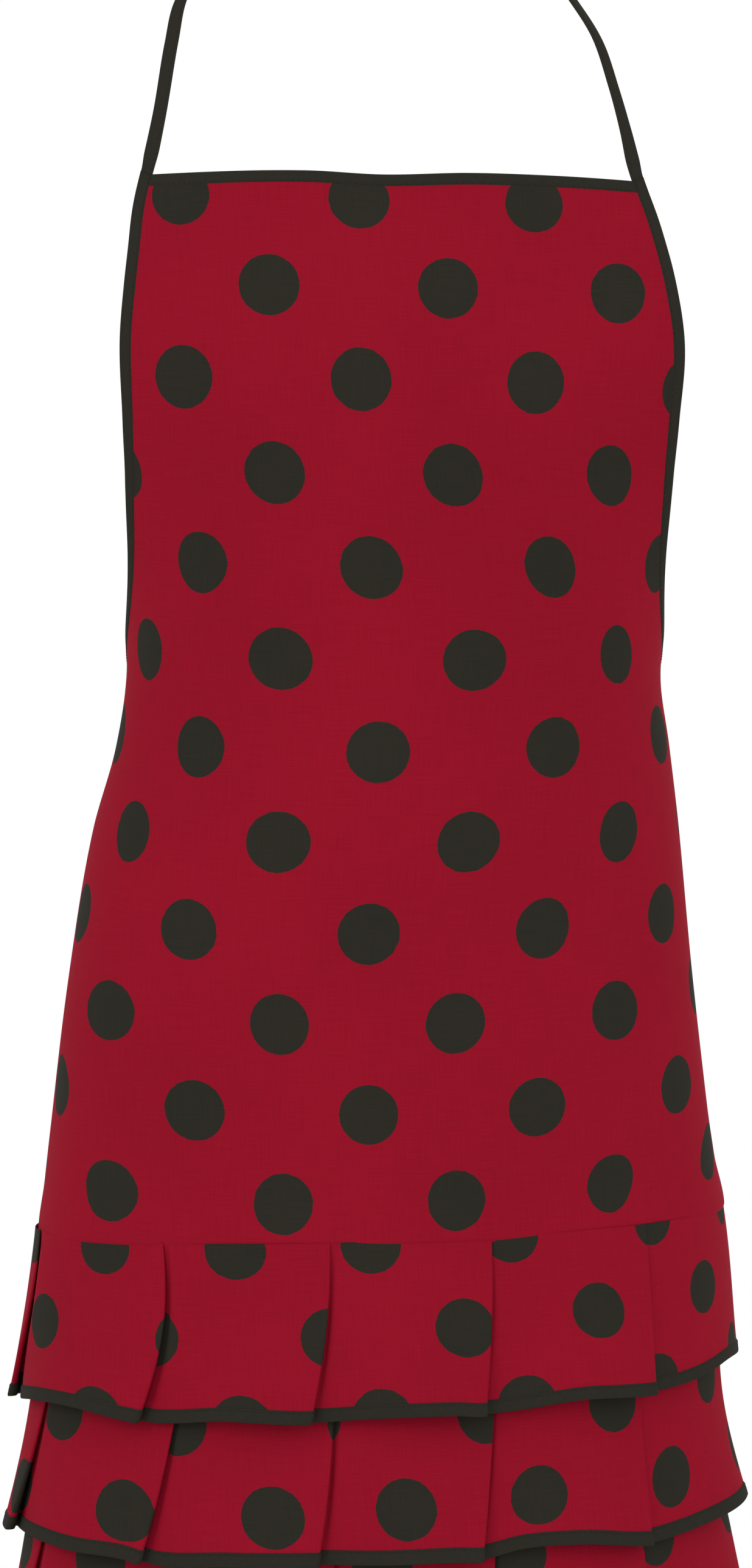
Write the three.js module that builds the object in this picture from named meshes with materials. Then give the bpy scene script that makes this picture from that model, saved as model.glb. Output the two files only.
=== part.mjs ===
// Flamenco apron as it hangs on a wearer: a dotted bib and skirt cut in one, bound with black tape,
// with a neck strap, waist ties in a bow, and three knife-pleated ruffles at the hem.
// Millimetres, +Z up. The front faces -Y. The origin is inside the neck strap at the nape of the neck.
// Heights along the cloth are drops: how far a point lies below the top edge of the bib.
import * as THREE from 'three';

const { lerp, smoothstep, clamp } = THREE.MathUtils;

// ---- driving dimensions ----
const NAPE_ABOVE_BIB = 168;      // from the bib's top edge up to the nape
const CLOTH_WALL = 1.2;          // body cloth with its turned hems
const RUFFLE_WALL = 1.0;
const TAPE_WALL = 2.0;           // bias tape folded over the cloth
const STRAP_WALL = 1.6;          // the same tape sewn closed
const TAPE_WIDTH = 7.5;
const STRAP_WIDTH = 9;
const SEAM_GAP = 0.3;
const RUN_ON_GAP = 0.9;          // where the tape leaves an armhole and turns

const BODY_LENGTH = 717;         // bib top to the cut end of the skirt, under the last ruffle
const TOP_BINDING_HEIGHT = 7;

const RUFFLE_LENGTH = 94;        // seam to the lowest edge of the binding
const RUFFLE_BINDING_HEIGHT = 7.5;
const PLEAT_TUCK = 11;           // how far each fold reaches back under its panel
const CLIMB_CLEAR = 3;           // a panel reaches its full height this far before the fold under it
const FLAT_PAST_FOLD = 2;        // and lies flat this far past the fold it comes out of
const PLEAT_PITCH_SEAM = 1.4;    // from layer to layer, pressed flat at the seam
const PLEAT_PITCH_HEM = 3.8;     // and opened at the hem
const RUFFLE_OFF_SEAM = 3.1;     // middle of the lowest layer, out from the figure
const RUFFLE_OFF_HEM = 10;
const FLARE_POWER = 1.4;         // the ruffle leaves the skirt slowly, then faster
const FOLD_NOSE = 1.5;           // largest radius of a fold's edge
const HEM_DIP = 0.1;             // how much lower the hem sits for each mm it stands out
const HEM_SEAM_GAP = 0.5;        // between a ruffle and the binding on its hem

const TIE_DROP = 300;            // waist corner and ties
const TIE_RISE = 2;              // from the waist corners to the knot
const TIE_EASE = 0.8;            // most of that rise lies near the corners
const KNOT = { width: 17, height: 15, depth: 11, off: 4.2, softness: 0.6 };
const BOW_LOOP = { reach: 74, sag: 26 };
const BOW_END = { width: 8.4, root: 4.6 };
const STRAIGHT_ON = { strap: 3, tie: 6 };   // how far the tape runs on straight before it bends
const TAPE_STEPS = { strap: 52, tie: 14, loop: 20, end: 9 };

// The general figure under the cloth, a rounded oval at each height.
const FIGURE = [
  { drop: -20, halfWidth: 168.0, shift: -0.6, frontY: -166, sideY: -88, backDepth: 84, squareness: 2.2 },
  { drop: 0, halfWidth: 172.0, shift: -0.3, frontY: -172, sideY: -92, backDepth: 92, squareness: 2.2 },
  { drop: 50, halfWidth: 187.0, shift: 3.4, frontY: -184, sideY: -96, backDepth: 100, squareness: 2.2 },
  { drop: 95, halfWidth: 188.0, shift: 5.0, frontY: -192, sideY: -98, backDepth: 106, squareness: 2.2 },
  { drop: 135, halfWidth: 178.0, shift: 4.2, frontY: -192.5, sideY: -90.5, backDepth: 100, squareness: 2.2 },
  { drop: 175, halfWidth: 164.5, shift: 3.0, frontY: -191, sideY: -80, backDepth: 92, squareness: 2.15 },
  { drop: 215, halfWidth: 151.2, shift: 1.9, frontY: -189, sideY: -73, backDepth: 87, squareness: 2.1 },
  { drop: 262, halfWidth: 145.2, shift: 0.8, frontY: -188, sideY: -70, backDepth: 84, squareness: 2.1 },
  { drop: 305, halfWidth: 150.4, shift: 0.3, frontY: -190, sideY: -70, backDepth: 86, squareness: 2.1 },
  { drop: 350, halfWidth: 159.2, shift: -3.5, frontY: -195, sideY: -70, backDepth: 92, squareness: 2.15 },
  { drop: 430, halfWidth: 169.6, shift: -6.8, frontY: -203, sideY: -70, backDepth: 100, squareness: 2.2 },
  { drop: 500, halfWidth: 177.8, shift: -7.4, frontY: -208, sideY: -70, backDepth: 106, squareness: 2.25 },
  { drop: 566, halfWidth: 185.2, shift: -6.6, frontY: -212, sideY: -70, backDepth: 110, squareness: 2.3 },
  { drop: 663, halfWidth: 183.2, shift: -9.6, frontY: -214, sideY: -70, backDepth: 111, squareness: 2.3 },
  { drop: 740, halfWidth: 187.0, shift: -8.6, frontY: -216, sideY: -70, backDepth: 112, squareness: 2.3 },
  { drop: 840, halfWidth: 189.0, shift: -9.0, frontY: -217, sideY: -70, backDepth: 113, squareness: 2.3 },
];

// Half of the body's cut, laid flat: how far the cloth reaches from the front centre line at each drop.
const BODY_CUT = [
  { drop: -6, halfCut: 128.6 },
  { drop: 0, halfCut: 130.5 },
  { drop: 20, halfCut: 136.2 },
  { drop: 40, halfCut: 139.9 },
  { drop: 60, halfCut: 143.4 },
  { drop: 90, halfCut: 147.4 },
  { drop: 132, halfCut: 148 },
  { drop: 162, halfCut: 150.5 },
  { drop: 208, halfCut: 162.5 },
  { drop: 241, halfCut: 184 },
  { drop: 262, halfCut: 214 },
  { drop: 280, halfCut: 247 },
  { drop: 292, halfCut: 273 },
  { drop: 300, halfCut: 289 },
  { drop: 306, halfCut: 295 },
  { drop: 340, halfCut: 299 },
  { drop: 430, halfCut: 309 },
  { drop: 566, halfCut: 324 },
  { drop: 740, halfCut: 340 },
  { drop: 840, halfCut: 349 },
];

// The bib's top edge hangs uneven between the strap's two ends: how far it dips below its left corner,
// and the drop where that has evened out.
const TOP_EDGE = [
  { along: -130, dip: 0 },
  { along: -45, dip: 0.2 },
  { along: -5, dip: 2.6 },
  { along: 40, dip: 1.6 },
  { along: 80, dip: 2.2 },
  { along: 130, dip: 3.6 },
];
const TOP_EDGE_EVEN = 70;

// Fold edges of the pleats, measured round the figure from the front centre line.
const FIRST_PLEATS = [
  { atSeam: -226, atHem: -262, swing: 11 },
  { atSeam: -115, atHem: -121, swing: 4 },
  { atSeam: -26, atHem: -32, swing: 2.5 },
  { atSeam: 61, atHem: 55.5, swing: 0 },
  { atSeam: 146, atHem: 146.5, swing: 1 },
];
const LATER_PLEATS = [
  { atSeam: -200, atHem: -231, swing: 3 },
  { atSeam: -97, atHem: -116.5, swing: 2 },
  { atSeam: -20, atHem: -28, swing: 2.5 },
  { atSeam: 64, atHem: 54.5, swing: 1.5 },
  { atSeam: 145, atHem: 143, swing: 1 },
  { atSeam: 242, atHem: 246, swing: 0 },
];

// Each ruffle: the drop of its seam left of the middle, its pleats,
// and how many layers its right end stands out.
const RUFFLES = [
  { seam: 567, pleats: FIRST_PLEATS, hemLift: 'firstHem', endLayer: 1.8 },
  { seam: 637, pleats: LATER_PLEATS, hemLift: 'laterHem', endLayer: 1 },
  { seam: 707, pleats: LATER_PLEATS, hemLift: 'laterHem', endLayer: 1 },
];

// The ruffles are sewn on along a line that rises to the right, and their hems hang uneven:
// how far each seam lies above the level line, and what the first hem and the later hems add to that.
const RUFFLE_LIFT = [
  { along: -350, seam: 0, firstHem: 3, laterHem: 3 },
  { along: -250, seam: 0, firstHem: 1, laterHem: 2.5 },
  { along: -194, seam: 0, firstHem: 6.2, laterHem: 1.7 },
  { along: -159, seam: 0, firstHem: 6.3, laterHem: 0.3 },
  { along: -130, seam: 0, firstHem: 2.2, laterHem: -0.5 },
  { along: -114, seam: 0, firstHem: 0.3, laterHem: -4.2 },
  { along: -75, seam: 0.7, firstHem: 2.7, laterHem: -3 },
  { along: -30, seam: 1.8, firstHem: 1.2, laterHem: -2.6 },
  { along: 0, seam: 2.9, firstHem: 2.6, laterHem: -3.4 },
  { along: 40, seam: 4.3, firstHem: 3.4, laterHem: -2.5 },
  { along: 54, seam: 4.8, firstHem: 2.2, laterHem: -3.2 },
  { along: 75, seam: 5.7, firstHem: 3.5, laterHem: 1 },
  { along: 105, seam: 7, firstHem: 7, laterHem: 1.3 },
  { along: 146, seam: 8.7, firstHem: 6.1, laterHem: -3.8 },
  { along: 167, seam: 9.8, firstHem: 7.2, laterHem: -2 },
  { along: 190, seam: 11, firstHem: 10, laterHem: 1 },
  { along: 216, seam: 12.3, firstHem: 14.3, laterHem: 3.5 },
  { along: 243, seam: 13.5, firstHem: 14, laterHem: 5 },
  { along: 350, seam: 13, firstHem: 8, laterHem: 8 },
];

// The neck strap from the left corner of the bib to the right, with the way its outer face looks.
const NECK_STRAP = [
  { x: -125, y: -137, rise: 35, faceX: -0.55, faceY: -0.8, faceZ: 0.24 },
  { x: -119.5, y: -117, rise: 75, faceX: -0.52, faceY: -0.75, faceZ: 0.4 },
  { x: -114.5, y: -98, rise: 102, faceX: -0.56, faceY: -0.58, faceZ: 0.6 },
  { x: -96, y: -65, rise: 133, faceX: -0.6, faceY: -0.25, faceZ: 0.76 },
  { x: -67, y: -33, rise: 154, faceX: -0.52, faceY: 0.3, faceZ: 0.8 },
  { x: -34, y: -8, rise: 165, faceX: -0.3, faceY: 0.85, faceZ: 0.42 },
  { x: 0, y: STRAP_WALL / 2, rise: 168, faceX: 0, faceY: 1, faceZ: 0 },
  { x: 32, y: -8, rise: 164, faceX: 0.3, faceY: 0.85, faceZ: 0.42 },
  { x: 60, y: -33, rise: 151, faceX: 0.52, faceY: 0.3, faceZ: 0.8 },
  { x: 82, y: -63, rise: 129, faceX: 0.62, faceY: -0.2, faceZ: 0.76 },
  { x: 98, y: -92, rise: 102, faceX: 0.68, faceY: -0.5, faceZ: 0.54 },
  { x: 111, y: -112, rise: 77, faceX: 0.74, faceY: -0.56, faceZ: 0.38 },
  { x: 119, y: -125, rise: 50, faceX: 0.74, faceY: -0.62, faceZ: 0.25 },
  { x: 125, y: -137, rise: 25, faceX: 0.66, faceY: -0.72, faceZ: 0.15 },
];

// ---- materials ----
const dottedCotton = new THREE.MeshStandardMaterial({ color: 0x8e1425, roughness: 0.85, metalness: 0 });
const blackTape = new THREE.MeshStandardMaterial({ color: 0x2e2b26, roughness: 0.8, metalness: 0 });

// ---- tables and curves ----
// A smooth reading of one column of a table between its rows.
function read(table, key, name, at) {
  let row = 0;
  while (row < table.length - 2 && at > table[row + 1][key]) row += 1;
  const slope = (a, b) => (table[b][name] - table[a][name]) / (table[b][key] - table[a][key]);
  const here = slope(row, row + 1);
  const before = row > 0 ? (slope(row - 1, row) + here) / 2 : here;
  const after = row < table.length - 2 ? (here + slope(row + 1, row + 2)) / 2 : here;
  const span = table[row + 1][key] - table[row][key];
  const t = clamp((at - table[row][key]) / span, 0, 1);
  const rise = (table[row + 1][name] - table[row][name]) * t * t * (3 - 2 * t);
  return table[row][name] + rise + span * t * (1 - t) * (before * (1 - t) - after * t);
}

// Half of the figure's outline at one drop, from the front centre round to the back centre:
// x grows with the sine and y with the cosine, both raised to 2 / squareness.
const OUTLINE_STEPS = 160;
const outlines = new Map();
function halfOutline(drop) {
  if (outlines.has(drop)) return outlines.get(drop);
  const [halfWidth, shift, frontY, sideY, backDepth, squareness] = Object.keys(FIGURE[0]).slice(1)
    .map((name) => read(FIGURE, 'drop', name, drop));
  const power = 2 / squareness;
  const points = [];
  const lengths = [0];
  for (let step = 0; step <= OUTLINE_STEPS; step += 1) {
    const angle = Math.PI * step / OUTLINE_STEPS;
    const depth = Math.cos(angle) >= 0 ? sideY - frontY : backDepth;
    const along = Math.sign(Math.cos(angle)) * Math.abs(Math.cos(angle)) ** power;
    points.push(new THREE.Vector2(halfWidth * Math.abs(Math.sin(angle)) ** power, sideY - depth * along));
    if (step > 0) lengths.push(lengths[step - 1] + points[step].distanceTo(points[step - 1]));
  }
  const outline = { points, lengths, shift };
  outlines.set(drop, outline);
  return outline;
}

// The point of the figure's surface a given way round from the front centre (+ to the right) at a drop,
// with the dip of the bib's top edge.
function onFigure(along, drop) {
  const { points, lengths, shift } = halfOutline(drop);
  const way = Math.min(Math.abs(along), lengths[OUTLINE_STEPS] - 1e-6);
  let step = 0;
  while (lengths[step + 1] <= way) step += 1;
  const t = (way - lengths[step]) / (lengths[step + 1] - lengths[step]);
  const point = points[step].clone().lerp(points[step + 1], t);
  const dip = read(TOP_EDGE, 'along', 'dip', along) * (1 - smoothstep(drop, 0, TOP_EDGE_EVEN));
  return new THREE.Vector3(shift + Math.sign(along) * point.x, point.y, -NAPE_ABOVE_BIB - drop - dip);
}

// Outward direction of the figure's surface, square to two short lines across it.
const PROBE = 2;
function outwardAt(along, drop) {
  const across = onFigure(along + PROBE, drop).sub(onFigure(along - PROBE, drop));
  const up = onFigure(along, drop - PROBE).sub(onFigure(along, drop + PROBE));
  return across.cross(up).normalize();
}

// A point out from the figure's surface by a distance.
function place(along, drop, out) {
  return onFigure(along, drop).addScaledVector(outwardAt(along, drop), out);
}

const backCentre = (drop) => halfOutline(drop).lengths[OUTLINE_STEPS];
const halfCut = (drop) => read(BODY_CUT, 'drop', 'halfCut', drop);

// ---- closed walls ----
// A wall over a grid of columns and rows.
// pointAt(column, row, face) gives its outer (+1) and inner (-1) points.
function wall(name, material, columns, rows, pointAt) {
  const positions = [];
  for (const face of [1, -1]) {
    for (let row = 0; row <= rows; row += 1) {
      for (let column = 0; column <= columns; column += 1) {
        positions.push(...pointAt(column, row, face).toArray());
      }
    }
  }
  const inner = (columns + 1) * (rows + 1);
  const at = (column, row) => row * (columns + 1) + column;
  const triangles = [];
  for (let row = 0; row < rows; row += 1) {
    for (let column = 0; column < columns; column += 1) {
      const [a, b] = [at(column, row), at(column + 1, row)];
      const [c, d] = [at(column, row + 1), at(column + 1, row + 1)];
      triangles.push([a, c, b], [b, c, d]);
      triangles.push([inner + a, inner + b, inner + c], [inner + b, inner + d, inner + c]);
    }
  }
  const rim = [];
  for (let row = 0; row < rows; row += 1) rim.push(at(0, row));
  for (let column = 0; column < columns; column += 1) rim.push(at(column, rows));
  for (let row = rows; row > 0; row -= 1) rim.push(at(columns, row));
  for (let column = columns; column > 0; column -= 1) rim.push(at(column, 0));
  rim.forEach((from, index) => {
    const to = rim[(index + 1) % rim.length];
    triangles.push([to, from, inner + from], [to, inner + from, inner + to]);
  });
  return solid(name, material, positions, triangles);
}

// A mesh from its points and triangles, turned so that its faces point out.
function solid(name, material, positions, triangles) {
  const corner = (index) => new THREE.Vector3().fromArray(positions, index * 3);
  const volume = triangles.reduce((sum, [a, b, c]) => sum + corner(a).dot(corner(b).cross(corner(c))), 0);
  const geometry = new THREE.BufferGeometry();
  geometry.setAttribute('position', new THREE.Float32BufferAttribute(positions, 3));
  geometry.setIndex(triangles.flatMap(([a, b, c]) => (volume > 0 ? [a, b, c] : [a, c, b])));
  geometry.computeVertexNormals();
  const mesh = new THREE.Mesh(geometry, material);
  mesh.name = name;
  return mesh;
}

const apron = new THREE.Group();

// ---- apron body: bib and skirt cut in one ----
// The bib's rows are shared with the tapes on its edges, so that both bend at the same heights.
const BODY_COLUMNS = 30;
const BIB_ROWS = [TOP_BINDING_HEIGHT, 20, 40, 70, 100, 130, 160, 190, 215, 241, 262, 280, 292, TIE_DROP];
const BODY_ROWS = [...BIB_ROWS, 306, 340, 380, 430, 480, 530, 566, 620, 673, BODY_LENGTH];
apron.add(wall('apron_body', dottedCotton, BODY_COLUMNS, BODY_ROWS.length - 1, (column, row, face) => {
  const along = halfCut(BODY_ROWS[row]) * (2 * column / BODY_COLUMNS - 1);
  return place(along, BODY_ROWS[row], CLOTH_WALL / 2 * (1 + face));
}));

// ---- bias tape along the bib's top edge ----
const tapeFace = (face) => CLOTH_WALL / 2 + face * TAPE_WALL / 2;
apron.add(wall('bib_top_binding', blackTape, BODY_COLUMNS, 1, (column, row, face) => {
  const drop = row * (TOP_BINDING_HEIGHT - SEAM_GAP);
  return place(halfCut(drop) * (2 * column / BODY_COLUMNS - 1), drop, tapeFace(face));
}));

// ---- bias tape along the armholes, from the bib's corners down to the waist ----
// The tape's inner edge follows the body's edge, and its width goes square to that edge, within the cloth.
const ARMHOLE_ROWS = [0, ...BIB_ROWS];
function armholePoint(side, row, across) {
  const drop = ARMHOLE_ROWS[row];
  const above = ARMHOLE_ROWS[Math.max(row - 1, 0)];
  const below = ARMHOLE_ROWS[Math.min(row + 1, ARMHOLE_ROWS.length - 1)];
  const slope = (halfCut(below) - halfCut(above)) / (below - above);
  const run = Math.hypot(1, slope);
  return { along: side * (halfCut(drop) + across / run), drop: drop - across * slope / run };
}
for (const [side, name] of [[-1, 'armhole_binding_left'], [1, 'armhole_binding_right']]) {
  apron.add(wall(name, blackTape, 1, ARMHOLE_ROWS.length - 1, (column, row, face) => {
    const { along, drop } = armholePoint(side, row, column === 0 ? SEAM_GAP : SEAM_GAP + TAPE_WIDTH);
    return place(along, drop, tapeFace(face));
  }));
}

// ---- tape sewn closed: neck strap, ties and bow ----
// A flat tape through points in space. Each row has the way its outer face looks, made square to its run.
function tape(name, rows, width, steps) {
  const centres = new THREE.CatmullRomCurve3(rows.map((row) => row.centre), false, 'centripetal');
  const faces = new THREE.CatmullRomCurve3(rows.map((row) => row.looks), false, 'centripetal');
  const frames = [];
  for (let step = 0; step <= steps; step += 1) {
    const t = step / steps;
    const run = centres.getTangent(t);
    const out = faces.getPoint(t);
    out.addScaledVector(run, -out.dot(run)).normalize();
    frames.push({ centre: centres.getPoint(t), out, across: out.clone().cross(run) });
  }
  return wall(name, blackTape, 1, steps, (column, row, face) => {
    const { centre, out, across } = frames[row];
    return centre.clone()
      .addScaledVector(across, (column - 0.5) * width)
      .addScaledVector(out, face * STRAP_WALL / 2);
  });
}

// The tape of an armhole runs on past its two ends in the same direction: up into the neck strap
// and down into the waist tie.
function runOn(side, row, neighbour, distance) {
  const [end, inside] = [row, neighbour]
    .map((index) => armholePoint(side, index, SEAM_GAP + TAPE_WIDTH / 2));
  const run = Math.hypot(inside.along - end.along, inside.drop - end.drop);
  const along = end.along + (end.along - inside.along) * distance / run;
  const drop = end.drop + (end.drop - inside.drop) * distance / run;
  return { along, drop, centre: place(along, drop, CLOTH_WALL / 2), looks: outwardAt(along, drop) };
}
const strapRows = NECK_STRAP.map((row) => ({
  centre: new THREE.Vector3(row.x, row.y, row.rise - NAPE_ABOVE_BIB),
  looks: new THREE.Vector3(row.faceX, row.faceY, row.faceZ),
}));
const strapStart = [RUN_ON_GAP, STRAIGHT_ON.strap].map((distance) => runOn(-1, 0, 1, distance));
const strapFinish = [STRAIGHT_ON.strap, RUN_ON_GAP].map((distance) => runOn(1, 0, 1, distance));
const wholeStrap = [...strapStart, ...strapRows, ...strapFinish];
apron.add(tape('neck_strap', wholeStrap, STRAP_WIDTH, TAPE_STEPS.strap));

// The ties leave the armhole tapes at the waist corners and lie on the figure round to the knot.
const KNOT_GAP = KNOT.width / 2 + 2 * SEAM_GAP;
const CORNER_ROW = ARMHOLE_ROWS.length - 1;
for (const [side, name] of [[-1, 'waist_tie_left'], [1, 'waist_tie_right']]) {
  const start = runOn(side, CORNER_ROW, CORNER_ROW - 1, RUN_ON_GAP + SEAM_GAP);
  const turn = runOn(side, CORNER_ROW, CORNER_ROW - 1, STRAIGHT_ON.tie);
  const rows = [start, turn];
  const last = backCentre(TIE_DROP) - KNOT_GAP;
  for (const t of [0.2, 0.4, 0.6, 0.8, 1]) {
    const along = side * lerp(Math.abs(turn.along), last, t);
    const drop = lerp(turn.drop, TIE_DROP - TIE_RISE, t ** TIE_EASE);
    rows.push({ centre: place(along, drop, CLOTH_WALL / 2), looks: outwardAt(along, drop) });
  }
  apron.add(tape(name, rows, STRAP_WIDTH, TAPE_STEPS.tie));
}

// The bow hangs on the back. Its middle is the knot.
const back = place(backCentre(TIE_DROP), TIE_DROP - TIE_RISE, 0);
back.x = halfOutline(TIE_DROP).shift;
const knotCentre = back.clone().add(new THREE.Vector3(0, KNOT.off, 0));

// Knot: a pillow with rounded sides, a superellipse in all three directions.
function pillow(name, centre, size, around, rings) {
  const positions = [];
  const soft = (value) => Math.sign(value) * Math.abs(value) ** size.softness;
  const half = new THREE.Vector3(size.width, size.depth, size.height).divideScalar(2);
  const push = (...share) => {
    positions.push(...new THREE.Vector3(...share).multiply(half).add(centre).toArray());
  };
  push(0, 0, 1);
  for (let ring = 1; ring < rings; ring += 1) {
    const polar = Math.PI * ring / rings;
    for (let step = 0; step < around; step += 1) {
      const turn = 2 * Math.PI * step / around;
      const waist = soft(Math.sin(polar));
      push(waist * soft(Math.cos(turn)), waist * soft(Math.sin(turn)), soft(Math.cos(polar)));
    }
  }
  push(0, 0, -1);
  const triangles = [];
  const at = (ring, step) => 1 + (ring - 1) * around + (step % around);
  const last = 1 + (rings - 1) * around;
  for (let step = 0; step < around; step += 1) {
    triangles.push([0, at(1, step), at(1, step + 1)], [last, at(rings - 1, step + 1), at(rings - 1, step)]);
    for (let ring = 1; ring < rings - 1; ring += 1) {
      triangles.push([at(ring, step), at(ring + 1, step), at(ring, step + 1)]);
      triangles.push([at(ring, step + 1), at(ring + 1, step), at(ring + 1, step + 1)]);
    }
  }
  return solid(name, blackTape, positions, triangles);
}
apron.add(pillow('bow_knot', knotCentre, KNOT, 12, 6));

// Loops: out from the knot close to the back, round a tip that hangs a little, and back over the first run.
// Ends: down from the knot.
const BOW_LOOP_ROWS = [
  { reach: 0, off: -0.4, hang: 0, lookX: 0, lookY: -1 },
  { reach: 0.3, off: 1.0, hang: -0.12, lookX: -0.1, lookY: -1 },
  { reach: 0.65, off: 2.5, hang: 0.2, lookX: 0.1, lookY: -1 },
  { reach: 0.92, off: 5.0, hang: 0.75, lookX: 0.6, lookY: -0.8 },
  { reach: 1, off: 8.5, hang: 0.98, lookX: 1, lookY: 0 },
  { reach: 0.9, off: 11.5, hang: 1.1, lookX: 0.5, lookY: 0.9 },
  { reach: 0.62, off: 11.0, hang: 0.95, lookX: -0.1, lookY: 1 },
  { reach: 0.3, off: 8.5, hang: 0.45, lookX: -0.2, lookY: 1 },
  { reach: 0, off: 3.4, hang: 0.06, lookX: -0.5, lookY: 1 },
];
const BOW_END_ROWS = [
  { down: 0, aside: 0, off: -1, lookX: 0 },
  { down: 0.12, aside: 0.064, off: 0.4, lookX: 0.02 },
  { down: 0.35, aside: 0.255, off: 2.5, lookX: 0.07 },
  { down: 0.7, aside: 0.63, off: 2.2, lookX: 0.14 },
  { down: 1, aside: 1, off: -1.5, lookX: 0.2 },
];
const BOW_SIDES = [
  { side: -1, word: 'left', endLength: 265, endLean: 34 },
  { side: 1, word: 'right', endLength: 246, endLean: 20 },
];
for (const { side, word, endLength, endLean } of BOW_SIDES) {
  const at = (x, y, z) => knotCentre.clone().add(new THREE.Vector3(side * x, y, z));
  const loop = BOW_LOOP_ROWS.map(({ reach, off, hang, lookX, lookY }) => ({
    centre: at(
      KNOT_GAP + SEAM_GAP / 2 + reach * (BOW_LOOP.reach - KNOT_GAP),
      off,
      -hang * BOW_LOOP.sag,
    ),
    looks: new THREE.Vector3(side * lookX, lookY, 0),
  }));
  apron.add(tape(`bow_loop_${word}`, loop, STRAP_WIDTH, TAPE_STEPS.loop));

  const end = BOW_END_ROWS.map(({ down, aside, off, lookX }) => ({
    centre: at(BOW_END.root + endLean * aside, off, -KNOT.height / 2 - SEAM_GAP - endLength * down),
    looks: new THREE.Vector3(side * lookX, 1, 0),
  }));
  apron.add(tape(`bow_end_${word}`, end, BOW_END.width, TAPE_STEPS.end));
}

// ---- ruffles: knife pleats, each panel lying on the start of the next one to its right ----
// One turn of a pleat goes right on the top layer (2), back left on the middle one (1)
// and right again on the lowest (0), where it comes out as the next panel and climbs to layer 2.
const pleatPitch = (t) => lerp(PLEAT_PITCH_SEAM, PLEAT_PITCH_HEM, t ** FLARE_POWER);
const ruffleOff = (t) => lerp(RUFFLE_OFF_SEAM, RUFFLE_OFF_HEM, t ** FLARE_POWER);
const foldAt = (pleat, t) => lerp(pleat.atSeam, pleat.atHem, t) + pleat.swing * Math.sin(Math.PI * t);
const CLIMB_SHARES = [0.25, 0.5, 0.75];      // where the path has its points on the way up a panel
const LAST_CLIMB_SHARES = [0.14, 0.28, 0.42, 0.56, 0.7, 0.85, 1];

function pleatPath(t, edge, { pleats, endLayer }) {
  const nose = Math.min(pleatPitch(t) / 2, FOLD_NOSE);
  const path = [{ along: -edge, layer: 0 }];
  let shown = -edge;
  for (const pleat of pleats) {
    const fold = foldAt(pleat, t);
    const tuck = fold - PLEAT_TUCK;
    const climbed = tuck - CLIMB_CLEAR;
    for (const share of CLIMB_SHARES) {
      path.push({ along: lerp(shown, climbed, share), layer: 2 * smoothstep(share, 0, 1) });
    }
    path.push({ along: climbed, layer: 2 }, { along: fold - nose, layer: 2 });
    path.push({ along: fold, layer: 1.5 }, { along: fold - nose, layer: 1 });
    path.push({ along: tuck + nose, layer: 1 }, { along: tuck, layer: 0.5 });
    shown = fold + FLAT_PAST_FOLD;
    path.push({ along: tuck + nose, layer: 0 }, { along: shown, layer: 0 });
  }
  for (const share of LAST_CLIMB_SHARES) {
    path.push({ along: lerp(shown, edge, share), layer: endLayer * share });
  }
  return path.map(({ along, layer }) => ({ along, out: ruffleOff(t) + layer * pleatPitch(t) }));
}

// The same path moved half a wall out or in, square to its own run.
function besidePath(path, distance) {
  return path.map((point, index) => {
    const before = path[Math.max(index - 1, 0)];
    const after = path[Math.min(index + 1, path.length - 1)];
    const unit = (from, to) => {
      const run = Math.hypot(to.along - from.along, to.out - from.out) || 1;
      return [(to.along - from.along) / run, (to.out - from.out) / run];
    };
    const [first, second] = [index > 0 ? unit(before, point) : unit(point, after), unit(point, after)];
    if (index === path.length - 1) second.splice(0, 2, ...first);
    const run = [first[0] + second[0], first[1] + second[1]];
    const size = Math.hypot(...run);
    return { along: point.along - distance * run[1] / size, out: point.out + distance * run[0] / size };
  });
}

const RUFFLE_ROWS = 3;
RUFFLES.forEach((ruffle, tier) => {
  const { seam, hemLift } = ruffle;
  const fullDrop = (along, out, t) => {
    const lift = read(RUFFLE_LIFT, 'along', 'seam', along) + read(RUFFLE_LIFT, 'along', hemLift, along) * t;
    return seam + RUFFLE_LENGTH * t - lift + HEM_DIP * (out - ruffleOff(t)) * t;
  };
  const bindingTop = 1 - RUFFLE_BINDING_HEIGHT / RUFFLE_LENGTH;
  const strip = (name, material, rows, from, to, thickness) => {
    const paths = [];
    for (let row = 0; row <= rows; row += 1) {
      const t = lerp(from, to, row / rows);
      const path = pleatPath(t, halfCut(seam + RUFFLE_LENGTH * t), ruffle);
      const [outer, inner] = [1, -1].map((face) => besidePath(path, face * thickness / 2));
      paths.push({ t, outer, inner });
    }
    const columns = paths[0].outer.length - 1;
    apron.add(wall(name, material, columns, rows, (column, row, face) => {
      const { t, outer, inner } = paths[row];
      const { along, out } = (face > 0 ? outer : inner)[column];
      return place(along, fullDrop(along, out, t), out);
    }));
  };
  const clothEnd = bindingTop - HEM_SEAM_GAP / RUFFLE_LENGTH;
  strip(`ruffle_${tier + 1}`, dottedCotton, RUFFLE_ROWS, 0, clothEnd, RUFFLE_WALL);
  strip(`ruffle_${tier + 1}_binding`, blackTape, 1, bindingTop, 1, TAPE_WALL);
});

export default apron;
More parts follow.
